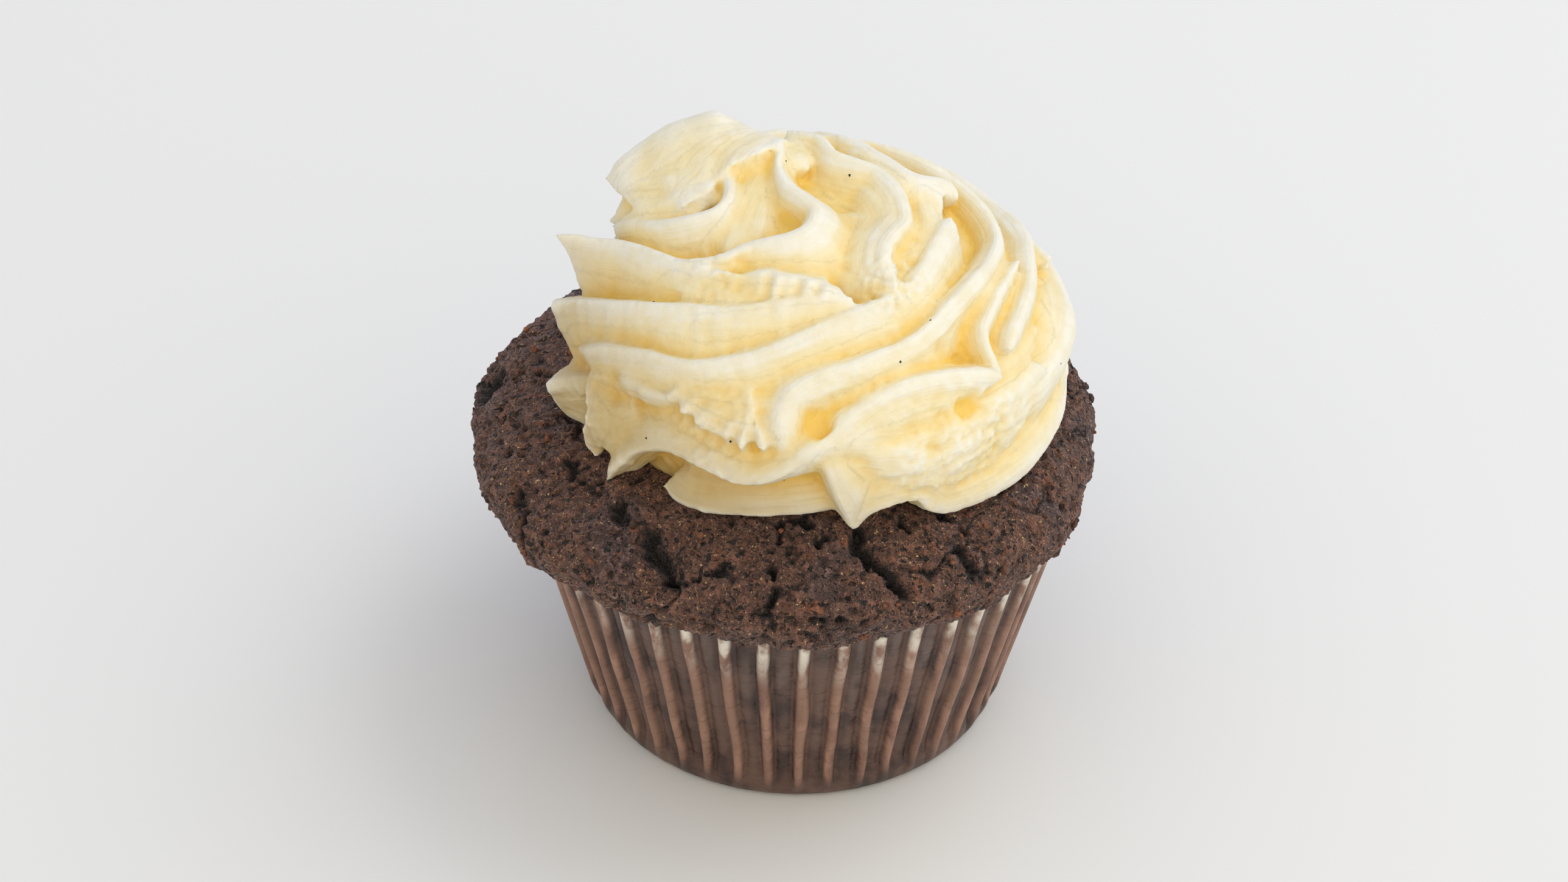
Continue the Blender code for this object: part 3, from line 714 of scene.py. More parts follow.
RIDGES = {
    "front_skirt": ridge(
        [(-35, 27.6, 45), (-30, 28.2, 44.2), (-21, 28.6, 44.5), (-12, 28.6, 45.2), (0, 28.3, 46),
         (9, 28, 46.6)],
        above=[(8, 1.5), (8, 1.5)], below=[(1.5, 4), (1.5, 4)], full=0.7, torn=0.12, ends=(1, 2),
    ),
    "skirt_corner": ridge(
        [(3, 28.5, 55), (5, 29.6, 53), (8, 30.2, 49), (10, 30.1, 46.4), (11, 29.8, 44.4)],
        above=[(12, 3), (14, 2.6), (8, 2)], below=[(1.5, 3), (2, 4), (1.5, 4)], full=0.9,
        ends=(2, 1.5),
    ),
    "right_skirt": ridge(
        [(10.5, 29.9, 44.6), (14, 30, 46.4), (19, 30.1, 47.3), (25, 30.1, 47.1), (29, 30.2, 45.2),
         (35, 30.2, 44), (48, 30.4, 43.6), (60, 30.6, 43.8), (75, 30.8, 44.4), (92, 31, 46)],
        above=[(6, 1.5), (9, 1.5), (10, 1.5), (9, 2)], below=[(1.5, 4), (1.5, 4)], full=0.8, torn=0.1,
        ends=(1, 6),
    ),
    "right_patch": ridge(
        [(14, 29, 54.5), (24, 29.6, 54), (34, 29.4, 54.5), (44, 29, 55), (54, 29.2, 55), (66, 29.4, 55)],
        above=[(5, 2)], below=[(7, 1.2)], full=1, ends=(6, 8),
    ),
    "back_skirt": ridge(
        [(80, 30.5, 48), (120, 30, 46), (170, 29, 46), (220, 28.5, 45), (275, 28, 46), (292, 28, 46)],
        above=[(8, 3)], below=[(3, 6)], full=0.5, ends=(8, 3),
    ),
    "left_lobe": ridge(
        [(-76, 30.9, 47.6), (-72, 30.7, 49.2), (-66, 29.8, 51.4), (-58, 28.6, 53.8), (-50, 26.8, 55)],
        above=[(2, 1.5), (3.5, 2.5), (3, 3)], below=[(3, 0.6), (6, 1.6), (6, 4)], full=0.5,
        ends=(1.2, 3),
    ),
    "left_block": ridge(
        [(-58, 29, 54.6), (-55, 30, 52.6), (-53.5, 30.4, 51), (-54.5, 30.6, 49), (-55, 30.4, 46.8),
         (-52, 30, 45.4)],
        above=[(6, 2), (9, 1.2), (7, 1.5)], below=[(1.5, 4), (1.5, 5)], full=0.6, torn=0.15,
        ends=(2, 2),
    ),
    "block_fold": ridge(
        [(-58, 28.8, 55), (-50, 28.4, 56.6), (-43, 28, 57.6), (-36, 28, 57.8), (-30, 27.4, 58.6)],
        above=[(1, 1.2), (1.2, 1.5)], below=[(2, 1.2), (2.5, 1.8)], full=0.7, torn=0.15, ends=(2, 3),
    ),
    "thin_fold": ridge(
        [(-55, 28.2, 56.4), (-48, 27.8, 57.9), (-42, 27.4, 58.9), (-39, 26.8, 59)],
        above=[(0.8, 1)], below=[(1.2, 1.2)], full=0.8, torn=0.1, ends=(2, 1),
    ),
    "lower": ridge(
        [(-48, 30, 43.4), (-46, 30.3, 45.6), (-42, 30, 48.6), (-37, 29.9, 51), (-30, 30, 52.6),
         (-22, 30.3, 52.3), (-14, 30.7, 51.5), (-8, 30.6, 52), (-3, 30.3, 53.8), (2, 29.6, 56.2),
         (8, 28.4, 58.4), (17, 27, 60.5), (28, 26.5, 61.2), (38, 27, 60.6), (46, 27.8, 59.4),
         (50, 28.6, 58.2)],
        above=[(2, 1.5), (6, 2), (8, 2), (6, 2.5), (3, 3.5), (3, 4), (2, 3)],
        below=[(1.2, 1.5), (2, 3), (2.5, 4), (3, 4), (7, 2.2), (7.5, 2.2), (3, 2)], full=0.75,
        torn=0.06, ends=(3, 3),
    ),
    "torn_shelf": ridge(
        [(-35, 27, 58.4), (-31, 28, 58.2), (-27, 28.7, 57.4), (-21, 29.1, 56.4), (-15, 29.4, 55.8),
         (-10, 29.3, 55.9), (-6.5, 28.6, 56.4)],
        above=[(4, 1.2), (7, 1.2), (7, 1)], below=[(0.8, 2), (1, 3), (1, 2.5)], full=0.8, torn=0.9,
        ends=(2, 2),
    ),
    "middle": ridge(
        [(-4, 29.3, 55.5), (-5.5, 28.6, 57.6), (-5, 27.4, 59.8), (-2.5, 26.4, 61.4), (2, 25.5, 62.5),
         (6, 25, 63), (12, 24.6, 63.4), (19, 24, 64), (28, 23.5, 64.5), (37, 22.6, 65.2),
         (46, 21.8, 65.9), (58, 21.5, 66.3), (70, 21.5, 66.2), (82, 21.5, 66), (92, 20.9, 66.4),
         (102, 19.4, 67.3), (112, 17.4, 68.4), (125, 14.6, 69.8), (150, 12, 70.5), (185, 9.5, 71.5)],
        above=[(7, 2.5), (6, 3), (3, 4), (3, 4), (3, 4), (3, 4)],
        below=[(4, 3), (4.5, 2.5), (4.5, 2.5), (4, 2.5), (4, 3), (4, 3)], full=0.8, lean=6, torn=0.04,
        ends=(1.2, 6),
    ),
    "upper": ridge(
        [(-66, 28.4, 56), (-60, 28.4, 57.7), (-54, 27.8, 59.3), (-49, 27.2, 60.2), (-43, 26.6, 61),
         (-36, 26.3, 61.4), (-29, 25.8, 62), (-23, 25.1, 62.8), (-17, 24.2, 63.7), (-11, 23.2, 64.6),
         (-4, 22, 65.5), (4, 20.8, 66.4), (12, 20, 67), (20, 19.5, 67.4), (32, 18.9, 67.6),
         (44, 17.6, 68.3), (62, 16, 69.2), (80, 16.2, 69)],
        above=[(3, 3), (2.5, 3), (2, 3), (2, 3), (2.5, 3), (3, 3.5)],
        below=[(4, 2.5), (5, 2.6), (5.5, 2.6), (6, 2.2), (6, 2.2), (5, 3)], full=0.85, torn=0.06,
        ends=(3, 2),
    ),
    "shelf": ridge(
        [(-86, 29.4, 55.6), (-80, 29.4, 57.6), (-72, 27.4, 60.2), (-62, 25.4, 62.4), (-52, 23.7, 64.1),
         (-39, 21.8, 65.7), (-26, 20.5, 66.6), (-13, 19, 67.6), (-2, 18.3, 68), (7, 18.1, 68.1),
         (16, 18.2, 67.8)],
        above=[(2, 2), (2.5, 2.5), (2, 2), (1.5, 1.5)], below=[(5, 3), (8, 2.4), (7, 1.8), (3, 1.2)],
        full=0.45, torn=0.14, ends=(2, 4),
    ),
    "shelf_fold": ridge(
        [(-30, 21.6, 65.4), (-18, 20.3, 66.3), (-6, 19.6, 66.8), (6, 19.2, 67.1), (17, 18.8, 67.2)],
        above=[(1, 0.8)], below=[(1.6, 1)], full=0.8, torn=0.12, ends=(4, 3),
    ),
    "step": ridge(
        [(-88.5, 28.9, 63.9), (-86.5, 27, 64.5), (-82.5, 24.4, 65), (-78, 22.2, 65.8),
         (-69, 20.3, 66.9), (-58, 19.1, 67.7), (-46, 18.1, 68.2), (-36, 17.3, 68.6), (-26, 16.8, 68.9)],
        above=[(1.5, 1.5), (3, 3.5), (2.5, 3), (2, 2.5)],
        below=[(1.2, 1.5), (7, 3), (5, 2.4), (3.5, 2)], full=0.4, torn=0.05, ends=(4, 3),
    ),
    "step_scrap": ridge(
        [(-28, 16.8, 68.4), (-22, 16.2, 68.9), (-18, 16, 69.2), (-8, 16.2, 69.2), (2, 16.6, 69),
         (9, 17.4, 68.5), (14, 18, 67.8)],
        above=[(2.5, 1.2)], below=[(6, 2)], full=0.6, torn=0.6, ends=(3, 3),
    ),
    "small_crest": ridge(
        [(-94, 22.8, 63.8), (-84, 19.8, 66.9), (-74, 17.2, 68.7), (-66, 14.4, 70.2), (-63, 11.6, 71.2),
         (-72, 9.7, 71.8), (-93, 9.4, 72), (-110, 8.8, 72.2), (-126, 7.8, 72.6), (-150, 8.4, 72.8)],
        above=[(3, 2), (3, 2), (3, 3), (2, 2.5)], below=[(3.5, 3), (4, 3), (3.5, 3.5), (3, 3)],
        full=0.5, torn=0.04, ends=(2, 3),
    ),
    "centre": ridge(
        [(-52, 18.4, 68), (-43, 17, 68.8), (-37, 15.6, 69.5), (-32, 13.8, 70.3), (-21, 12.3, 71),
         (-11, 11.4, 71.4), (-1, 9.9, 71.8), (4, 8, 72.2), (4, 6.4, 72.4), (-13, 4.7, 72.6),
         (-49, 3.8, 72.8), (-106, 4, 73.2), (-146, 6, 73.6)],
        above=[(2, 2), (3, 2.5), (4, 3), (3, 3), (2, 2)],
        below=[(3, 2.5), (4, 3), (6, 2.5), (4, 3), (2, 3)], full=0.6, torn=0.05, ends=(3, 2),
    ),
    "inner": ridge(
        [(31, 19.4, 67.5), (32, 17.8, 68.5), (34, 15.7, 69.6), (40, 14, 70.3), (51, 13.2, 70.6),
         (61, 12.8, 70.8), (74, 11.2, 71.4), (88, 9.6, 71.9), (105, 8, 72.2), (120, 6, 72.6),
         (150, 5, 72.8), (175, 7.5, 72.8), (198, 10, 72.2)],
        above=[(4, 2), (7, 2), (9, 2), (7, 2.5), (3, 2), (1.5, 1.5)],
        below=[(2, 2), (2, 3), (2, 3), (3, 3), (3, 3)], full=0.6, torn=0.05, ends=(2, 6),
    ),
    "inner_back": ridge(
        [(178, 12.4, 70.6), (160, 10.6, 71.4), (145, 10.4, 71.5), (132, 10, 71.6), (119, 10.4, 71.5),
         (107, 11.2, 71.3), (102, 12.8, 70.8), (104, 15, 69.9), (103, 16.6, 69.1), (97, 17.2, 68.2)],
        above=[(2, 2), (3, 2), (3, 3)], below=[(2, 2), (5, 1.6), (6, 2), (5, 2.4)], full=0.7,
        torn=0.04, ends=(6, 3),
    ),
    "outer": ridge(
        [(56, 27.4, 59.6), (60, 26.8, 60.8), (68, 26.2, 61.6), (78, 25.8, 62.2), (90, 25.4, 62.4),
         (102, 25.6, 62), (120, 24.6, 61.8), (145, 22.5, 63.5), (185, 19.5, 66), (220, 16, 69)],
        above=[(2.5, 3), (4, 4)], below=[(3, 2), (5, 2.5), (6, 3)], full=0.7, lean=6, torn=0.08,
        ends=(2, 6),
    ),
    "outer_fork": ridge(
        [(50, 28.4, 58), (49.5, 26.4, 61), (52, 25, 62.8), (58, 24.2, 63.6), (67, 23.7, 64.2),
         (82, 24.2, 63.8)],
        above=[(2, 2.5), (2.5, 3)], below=[(2.5, 2), (2.5, 1.6)], full=0.7, torn=0.2, ends=(2, 3),
    ),
    "right_body": ridge(
        [(50, 28.2, 53), (66, 30, 53), (90, 30.8, 54.5), (125, 29.6, 55), (170, 28, 55),
         (220, 26.5, 54), (255, 26, 53), (272, 27, 52)],
        above=[(7, 2.5), (7, 5)], below=[(8, 2.5), (8, 5)], full=0.8, ends=(8, 8),
    ),
    "back_body": ridge(
        [(100, 29, 58.5), (150, 26.5, 60), (205, 24, 60.5), (240, 22.5, 60.5), (266, 23.6, 60)],
        above=[(5, 5)], below=[(7, 6)], full=0.4, lean=6, ends=(6, 5),
    ),
    "peak": ridge(
        [(-141, 13.6, 70.6), (-137, 13.7, 73.4), (-131, 14.9, 74.3), (-125, 17, 73.5),
         (-119, 19.2, 72.4), (-113, 21.6, 70.6), (-108, 23.4, 68.9), (-106, 24.6, 66.6)],
        above=[(6, 2), (14, 3.4), (15, 3.4), (9, 2.6)], below=[(4, 4), (5, 5)], full=0.7, torn=0.1,
        ends=(1.5, 2),
    ),
    "peak_cheek": ridge(
        [(-150, 8.6, 71.6), (-125, 13.5, 71.4), (-112, 17, 69.6), (-102, 20.6, 67), (-98, 22.6, 64.5)],
        above=[(8, 2)], below=[(6, 3)], full=1, ends=(1.5, 4),
    ),
    "peak_valley": packing(
        [(-160, 8, 71.6), (-135, 9.4, 71.9), (-108, 11.2, 71.3), (-92, 12.8, 70.7), (-86, 15.4, 69.6),
         (-88, 18.6, 67.8), (-92, 21.6, 65)]
    ),
    "peak_foot": packing(
        [(-78, 11.6, 70.4), (-86, 14, 70), (-93, 17.4, 68.2), (-97, 20.6, 66), (-99, 23.4, 63)]
    ),
    "top_valley": packing(
        [(-42, 13.8, 67.8), (-50, 11.2, 69.2), (-64, 8.6, 70.5), (-90, 6.6, 71.4), (-125, 6, 71.8),
         (-160, 5, 71.6)]
    ),
    "crown_valley": packing(
        [(-60, 3, 71.6), (-120, 5, 72.1), (-158, 7.4, 72.1), (-176, 10.4, 71.1), (-184, 14, 69.2)]
    ),
    "rim_valley": packing([(30, 17.6, 67.4), (40, 15.6, 68.2), (54, 14.2, 68.6)]),
    "step_valley": packing([(-48, 19.4, 66.2), (-26, 18.2, 67.2), (-5, 17.6, 67.4)]),
    "torn_valley": packing([(-28, 26.6, 58.4), (-12, 26.4, 59), (-3, 25.6, 60)]),
    "right_valley": packing([(46, 27, 57.6), (60, 27.4, 57.2), (75, 27.2, 57)]),
    "inner_valley": packing([(46, 15.4, 68.6), (66, 14.6, 69), (88, 13, 69.6)]),
}
print(len(RIDGES), "ridges")

# %% Wrap the ridges in one skin


def smooth_route(points, steps):
    """A curve through every point, by Catmull-Rom."""
    points = np.asarray(points, float)
    padded = np.vstack([2 * points[0] - points[1], points, 2 * points[-1] - points[-2]])
    t = (np.arange(steps) / steps)[:, None]
    pieces = []
    for a, b, c, d in zip(padded, padded[1:], padded[2:], padded[3:]):
        pieces.append(
            b + 0.5 * t * (c - a + t * (2 * a - 5 * b + 4 * c - d + t * (3 * b - 3 * c + d - a)))
        )
    return np.vstack([*pieces, points[-1:]])


def unit(vectors):
    """Each row at length 1."""
    return vectors / np.maximum(np.linalg.norm(vectors, axis=1, keepdims=True), 1e-9)


def dome_normals(points):
    """The dome's outward direction at each point."""
    sideways = (points[:, :2] - (ICING_X, 0)) / ICING_RADIUS**2
    upwards = np.maximum(points[:, 2:] - ICING_WIDEST, 0) / (ICING_TOP - ICING_WIDEST) ** 2
    return unit(np.hstack([sideways, upwards]))


ROUTE_STEPS = 12
FLANK_STEPS = 8
TIP_ROUNDING = 1.5
SOFTEST_TIP = 0.6
HOLLOW_POWER = 1.7
ROUNDED_POWER = 2.1
UPPER_WIDTH_GAIN = 0.8
UPPER_DEPTH_GAIN = 1.7
UPPER_FULL_SHARE = 0.5
LOWER_DEPTH_GAIN = 1.6
ROOT_GAIN = 1.7
ROOT_DEPTH = 4


def flank(width, depth, full):
    """One flank from the crest outwards, as (across, in): hollow, rounded or between."""
    share = np.linspace(0, 1, FLANK_STEPS + 1)[1:]
    soft = min(TIP_ROUNDING / width, SOFTEST_TIP)
    softened = np.clip((np.hypot(share, soft) - soft) / (math.hypot(1, soft) - soft), 0, 1)
    hollow = 1 - (1 - softened) ** HOLLOW_POWER
    rounded = share**ROUNDED_POWER
    return np.stack([share * width, -depth * (hollow + full * (rounded - hollow))], axis=1)


def ridge_section(above, below, full):
    """A ridge's outline as (down, out) offsets from its crest."""
    upper = flank(above[0] * UPPER_WIDTH_GAIN, above[1] * UPPER_DEPTH_GAIN, full * UPPER_FULL_SHARE)
    upper = upper[::-1] * (-1, 1)
    lower = flank(below[0], below[1] * LOWER_DEPTH_GAIN, full)
    root = ((below[0] - above[0]) / 2, -ROOT_GAIN * max(above[1], below[1]) - ROOT_DEPTH)
    return np.vstack([upper, [(0, 0)], lower, root])


def closed_sweep(rings):
    """Points and three-sided faces of a closed body through equal rings."""
    count, sides = rings.shape[:2]
    points = np.vstack([rings.reshape(-1, 3), rings[0].mean(axis=0), rings[-1].mean(axis=0)])
    quads = skin_faces(count, sides)
    walls = np.vstack([quads[:, [0, 1, 2]], quads[:, [0, 2, 3]]])
    side = np.arange(sides)
    following = (side + 1) % sides
    start, end, last = count * sides, count * sides + 1, (count - 1) * sides
    caps = [np.stack([np.full(sides, start), following, side], axis=1)]
    caps.append(np.stack([np.full(sides, end), last + side, last + following], axis=1))
    return points, np.vstack([walls, *caps])


def crest_frames(route):
    """Points along a crest with the directions along, out and down at each."""
    azimuth, radius, height = np.array(route, float).T
    crest = smooth_route(ring_points(azimuth, radius, height, ICING_X), ROUTE_STEPS)
    along = unit(np.gradient(crest, axis=0))
    outward = dome_normals(crest)
    outward = unit(outward - (outward * along).sum(axis=1, keepdims=True) * along)
    return crest, along, outward, np.cross(along, outward)


def spread(pairs, count):
    """(width, depth) pairs spread evenly over a number of rings."""
    stations = np.linspace(0, 1, len(pairs))
    places = np.linspace(0, 1, count)
    return np.stack([np.interp(places, stations, column) for column in np.array(pairs, float).T], axis=1)


def length_along(crest):
    """Distance from the first point of a line to each of its points."""
    return np.concatenate([[0], np.cumsum(np.linalg.norm(np.diff(crest, axis=0), axis=1))])


END_SIZE = 0.02
END_POWER = 0.6
RAGGED_PITCH = 0.9
RAGGED_GAIN = 1.2
CORE_SIDES = 96
CORE_RINGS = 28
CORE_FOOT_INSET = 1.5


def ridge_body(route, above, below, full, lean, torn, ends):
    """A blade swept along its crest, growing from a point at each end."""
    crest, _, outward, downward = crest_frames(route)
    tilt = math.radians(lean)
    blade = outward * math.cos(tilt) - downward * math.sin(tilt)
    reach = length_along(crest)
    growth = np.minimum(reach / ends[0], (reach[-1] - reach) / ends[1])
    size = np.clip(growth, END_SIZE, 1) ** END_POWER
    ragged = np.array([noise.noise(Vector((place * RAGGED_PITCH, torn * 50, 0))) for place in reach])
    crest = crest + torn * ragged[:, None] * (RAGGED_GAIN * outward + RAGGED_GAIN * downward)
    rings = []
    flanks = zip(spread(above, len(crest)), spread(below, len(crest)))
    for index, (upper, lower) in enumerate(flanks):
        section = ridge_section(upper, lower, full) * size[index]
        rings.append(crest[index] + section[:, :1] * downward[index] + section[:, 1:] * blade[index])
    return closed_sweep(np.stack(rings))


def core_body():
    """The plain dome inside the ridges."""
    azimuth = np.arange(CORE_SIDES) * 360 / CORE_SIDES
    radius = ICING_RADIUS - CORE_INSET
    rings = [ring_points(azimuth, radius - CORE_FOOT_INSET, CORE_FOOT, ICING_X)]
    for lean in np.linspace(0, math.pi / 2, CORE_RINGS, endpoint=False):
        height = ICING_WIDEST + (ICING_TOP - ICING_WIDEST - CROWN_INSET) * math.sin(lean)
        rings.append(ring_points(azimuth, radius * math.cos(lean), height, ICING_X))
    return closed_sweep(np.stack(rings))


def wrapped(bodies, voxel):
    """One skin round overlapping bodies: its points and its triangles, in millimetres."""
    points = []
    faces = []
    for body_points, body_faces in bodies:
        faces.append(body_faces + sum(map(len, points)))
        points.append(body_points)
    raw = bpy.data.meshes.new("raw icing")
    raw.from_pydata((np.vstack(points) * MM).tolist(), [], np.vstack(faces).tolist())
    helper = bpy.data.objects.new("raw icing", raw)
    bpy.context.scene.collection.objects.link(helper)
    skin = helper.modifiers.new("one skin", "REMESH")
    skin.mode = "VOXEL"
    skin.voxel_size = voxel * MM
    graph = bpy.context.evaluated_depsgraph_get()
    mesh = bpy.data.meshes.new_from_object(helper.evaluated_get(graph))
    bpy.data.objects.remove(helper)
    return mesh


# %% Soften and comb the icing


def mesh_points(mesh):
    """A mesh's points as an array in millimetres."""
    flat = np.empty(len(mesh.vertices) * 3)
    mesh.vertices.foreach_get("co", flat)
    return flat.reshape(-1, 3) / MM


def mesh_edges(mesh):
    """A mesh's edges as pairs of point numbers."""
    flat = np.empty(len(mesh.edges) * 2, np.int64)
    mesh.edges.foreach_get("vertices", flat)
    return flat.reshape(-1, 2)


def mesh_normals(mesh):
    """A mesh's outward direction at each point."""
    flat = np.empty(len(mesh.vertices) * 3, np.float32)
    mesh.vertex_normals.foreach_get("vector", flat)
    return flat.reshape(-1, 3).astype(float)


def set_points(mesh, points):
    """Moves a mesh's points to new places given in millimetres."""
    mesh.vertices.foreach_set("co", (points * MM).ravel())
    mesh.update()


def relaxed(values, edges, rounds, share=0.5):
    """Each value drawn towards the average of its neighbours, a number of times."""
    count = np.bincount(edges.ravel(), minlength=len(values))[:, None]
    for _ in range(rounds):
        total = np.zeros_like(values)
        for column in range(values.shape[1]):
            total[:, column] = np.bincount(edges[:, 0], values[edges[:, 1], column], len(values))
            total[:, column] += np.bincount(edges[:, 1], values[edges[:, 0], column], len(values))
        values = values + share * (total / count - values)
    return values


def flow_of(points):
    """How far each point lies along and across its nearest crest, and which crest that is."""
    crests = [crest_frames(ridge["route"]) for ridge in RIDGES.values()]
    samples = np.vstack([crest for crest, _, _, _ in crests])
    alongs = np.vstack([along for _, along, _, _ in crests])
    downs = np.vstack([down for _, _, _, down in crests])
    names = np.repeat(np.arange(len(crests)), [len(crest) for crest, _, _, _ in crests])
    lengths = np.concatenate([length_along(crest) for crest, _, _, _ in crests])
    tree = kdtree.KDTree(len(samples))
    for index, sample in enumerate(samples):
        tree.insert(sample, index)
    tree.balance()
    nearest = np.array([tree.find(point)[1] for point in points])
    offset = points - samples[nearest]
    along = (offset * alongs[nearest]).sum(axis=1)
    side = offset - along[:, None] * alongs[nearest]
    across = np.linalg.norm(side, axis=1) * np.sign((side * downs[nearest]).sum(axis=1) + 1e-9)
    return lengths[nearest] + along, across, names[nearest]


SKIN_VOXEL = 0.36
CUT_HEIGHT = 42.6
CREST_REACH = 1.2
FINE_DEPTH = 0.14
BROAD_DEPTH = 0.20
LUMP_DEPTH = 0.16
LUMP_SIZE = 5.0
TORN_DEPTH = 0.10
TORN_SIZE = 1.05
SEAM_GAIN = 1.6
SOFTEN_ROUNDS = 3
BROAD_ROUNDS = 60
BROADER_ROUNDS = 160
STRONG_SHARE = 0.8
HOLLOW_GAIN = 0.75
BROADER_GAIN = 0.3
LANE_SPACING = 40  # keeps the flow lines of one ridge apart from the next one's
# Each dent: (degrees to the right of the front, radius, height), reach, depth.
DENTS = [
    ((3, 28, 58), 1.3, 1.8),
    ((28, 29.2, 53.8), 0.9, 0.9),
    ((30, 29.2, 53.2), 0.6, 0.7),
    ((39, 28.6, 56.4), 1.3, 1.1),
    ((42, 28.6, 56), 0.8, 0.8),
    ((38, 24.4, 62.4), 0.8, 0.6),
    ((-49, 28.4, 56.4), 1.1, 0.9),
]
# Each rough place: (degrees, radius, height), reach, depth.
ROUGH = [
    ((36, 28.8, 54.6), 6.0, 0.32),
    ((24, 29.4, 50), 4.0, 0.3),
    ((48, 29, 51), 5.0, 0.35),
    ((-20, 29, 56), 6.0, 0.35),
    ((-34, 17, 68.4), 4.0, 0.3),
    ((32, 17.5, 68.4), 4.0, 0.5),
    ((-55, 29.6, 50), 5.0, 0.35),
    ((10, 26, 61), 4.0, 0.15),
]


def near_place(points, place, reach):
    """1 at a place on the icing, fading to 0 over its reach."""
    centre = ring_points(*place, ICING_X)
    return np.exp(-((np.linalg.norm(points - centre, axis=1) / reach) ** 2))


def near_seam(ridge, edges):
    """1 where the flow of one ridge meets another's, fading to 0 a little way off."""
    meeting = np.zeros((len(ridge), 1))
    meeting[edges[ridge[edges[:, 0]] != ridge[edges[:, 1]]]] = 1
    return np.clip(SEAM_GAIN * relaxed(meeting, edges, 4, STRONG_SHARE)[:, 0], 0, 1)


def combing(points, along, across, ridge, hollow, seam):
    """How far each point of the icing moves out: flow lines, lumps, torn grit and dents."""
    fine = [noise.noise(Vector((a * 0.13, c * 1.9, r * 7.7))) for a, c, r in zip(along, across, ridge)]
    broad = [noise.noise(Vector((a * 0.07, c * 0.8, r * 3.3))) for a, c, r in zip(along, across, ridge)]
    on_crest = np.clip(1 - np.abs(across) / CREST_REACH, 0, 1)
    move = FINE_DEPTH * np.array(fine) + BROAD_DEPTH * np.array(broad)
    move = move * (1 - 0.8 * on_crest) * (1 - seam)
    move += LUMP_DEPTH * noise_at(points, LUMP_SIZE, 11.0)
    grit = noise_at(points, TORN_SIZE, 17.0, 2)
    move += TORN_DEPTH * grit * np.clip(hollow / 0.4, 0, 1)
    for place, reach, depth in ROUGH:
        move += depth * (grit - 0.2) * near_place(points, place, reach)
    for place, reach, depth in DENTS:
        move -= depth * near_place(points, place, reach)
    return move


def sunk_below(smooth, points, normals):
    """How far each point lies inside a smoother skin, along its own outward direction."""
    return ((smooth - points) * normals).sum(axis=1)


def build_icing(material):
    """The finished swirl: wrapped, trimmed where the cake hides it, softened and combed."""
    mesh = wrapped([core_body()] + [ridge_body(**ridge) for ridge in RIDGES.values()], SKIN_VOXEL)
    shape = bmesh.new()
    shape.from_mesh(mesh)
    everything = shape.verts[:] + shape.edges[:] + shape.faces[:]
    cut = {"plane_co": (0, 0, CUT_HEIGHT * MM), "plane_no": (0, 0, 1)}
    bmesh.ops.bisect_plane(shape, geom=everything, clear_inner=True, **cut)
    bmesh.ops.holes_fill(shape, edges=[edge for edge in shape.edges if edge.is_boundary])
    shape.to_mesh(mesh)
    shape.free()
    edges = mesh_edges(mesh)
    points = relaxed(mesh_points(mesh), edges, SOFTEN_ROUNDS)
    set_points(mesh, points)
    normals = mesh_normals(mesh)
    along, across, ridge = flow_of(points)
    broad = relaxed(points, edges, BROAD_ROUNDS, STRONG_SHARE)
    hollow = sunk_below(broad, points, normals)
    seam = near_seam(ridge, edges)
    combed = combing(points, along, across, ridge, hollow, seam)
    points = points + normals * combed[:, None]
    set_points(mesh, points)
    broader = relaxed(broad, edges, BROADER_ROUNDS, STRONG_SHARE)
    normals = mesh_normals(mesh)
    hollow = HOLLOW_GAIN * sunk_below(broad, points, normals)
    hollow = hollow + BROADER_GAIN * sunk_below(broader, points, normals)
    mesh.name = "swirl"
    mesh.materials.clear()
    mesh.materials.append(material)
    mesh.shade_smooth()
    swirl = bpy.data.objects.new("swirl", mesh)
    bpy.context.scene.collection.objects.link(swirl)
    mark(swirl, "hollow", hollow)
    mark(swirl, "along", along)
    mark(swirl, "across", across + LANE_SPACING * ridge)
    mark(swirl, "calm", 1 - seam)
    print("hollow", np.percentile(hollow, [1, 10, 50, 90, 99]).round(2))
    return swirl


# %% [markdown]
# Buttercream is a cream white that lets a little light in. Light that bounces in a groove comes
# out more yellow, so the stored hollow mark warms the grooves and whitens the crests. Faint
# mottling keeps the faces from looking like plastic. Shade is painted on the cream that lies
# lowest, most of all at the left: it is darker and yellower there, except on its crests. Fine
# lines follow the stored flow.

# %% Paint the icing
HOLLOW_SPAN = 0.8
# Heights along a slant that sinks to the left: shade is painted in full below the first and fades out by the
# second.
SHADE_BELOW = 43
UNSHADED_ABOVE = 58


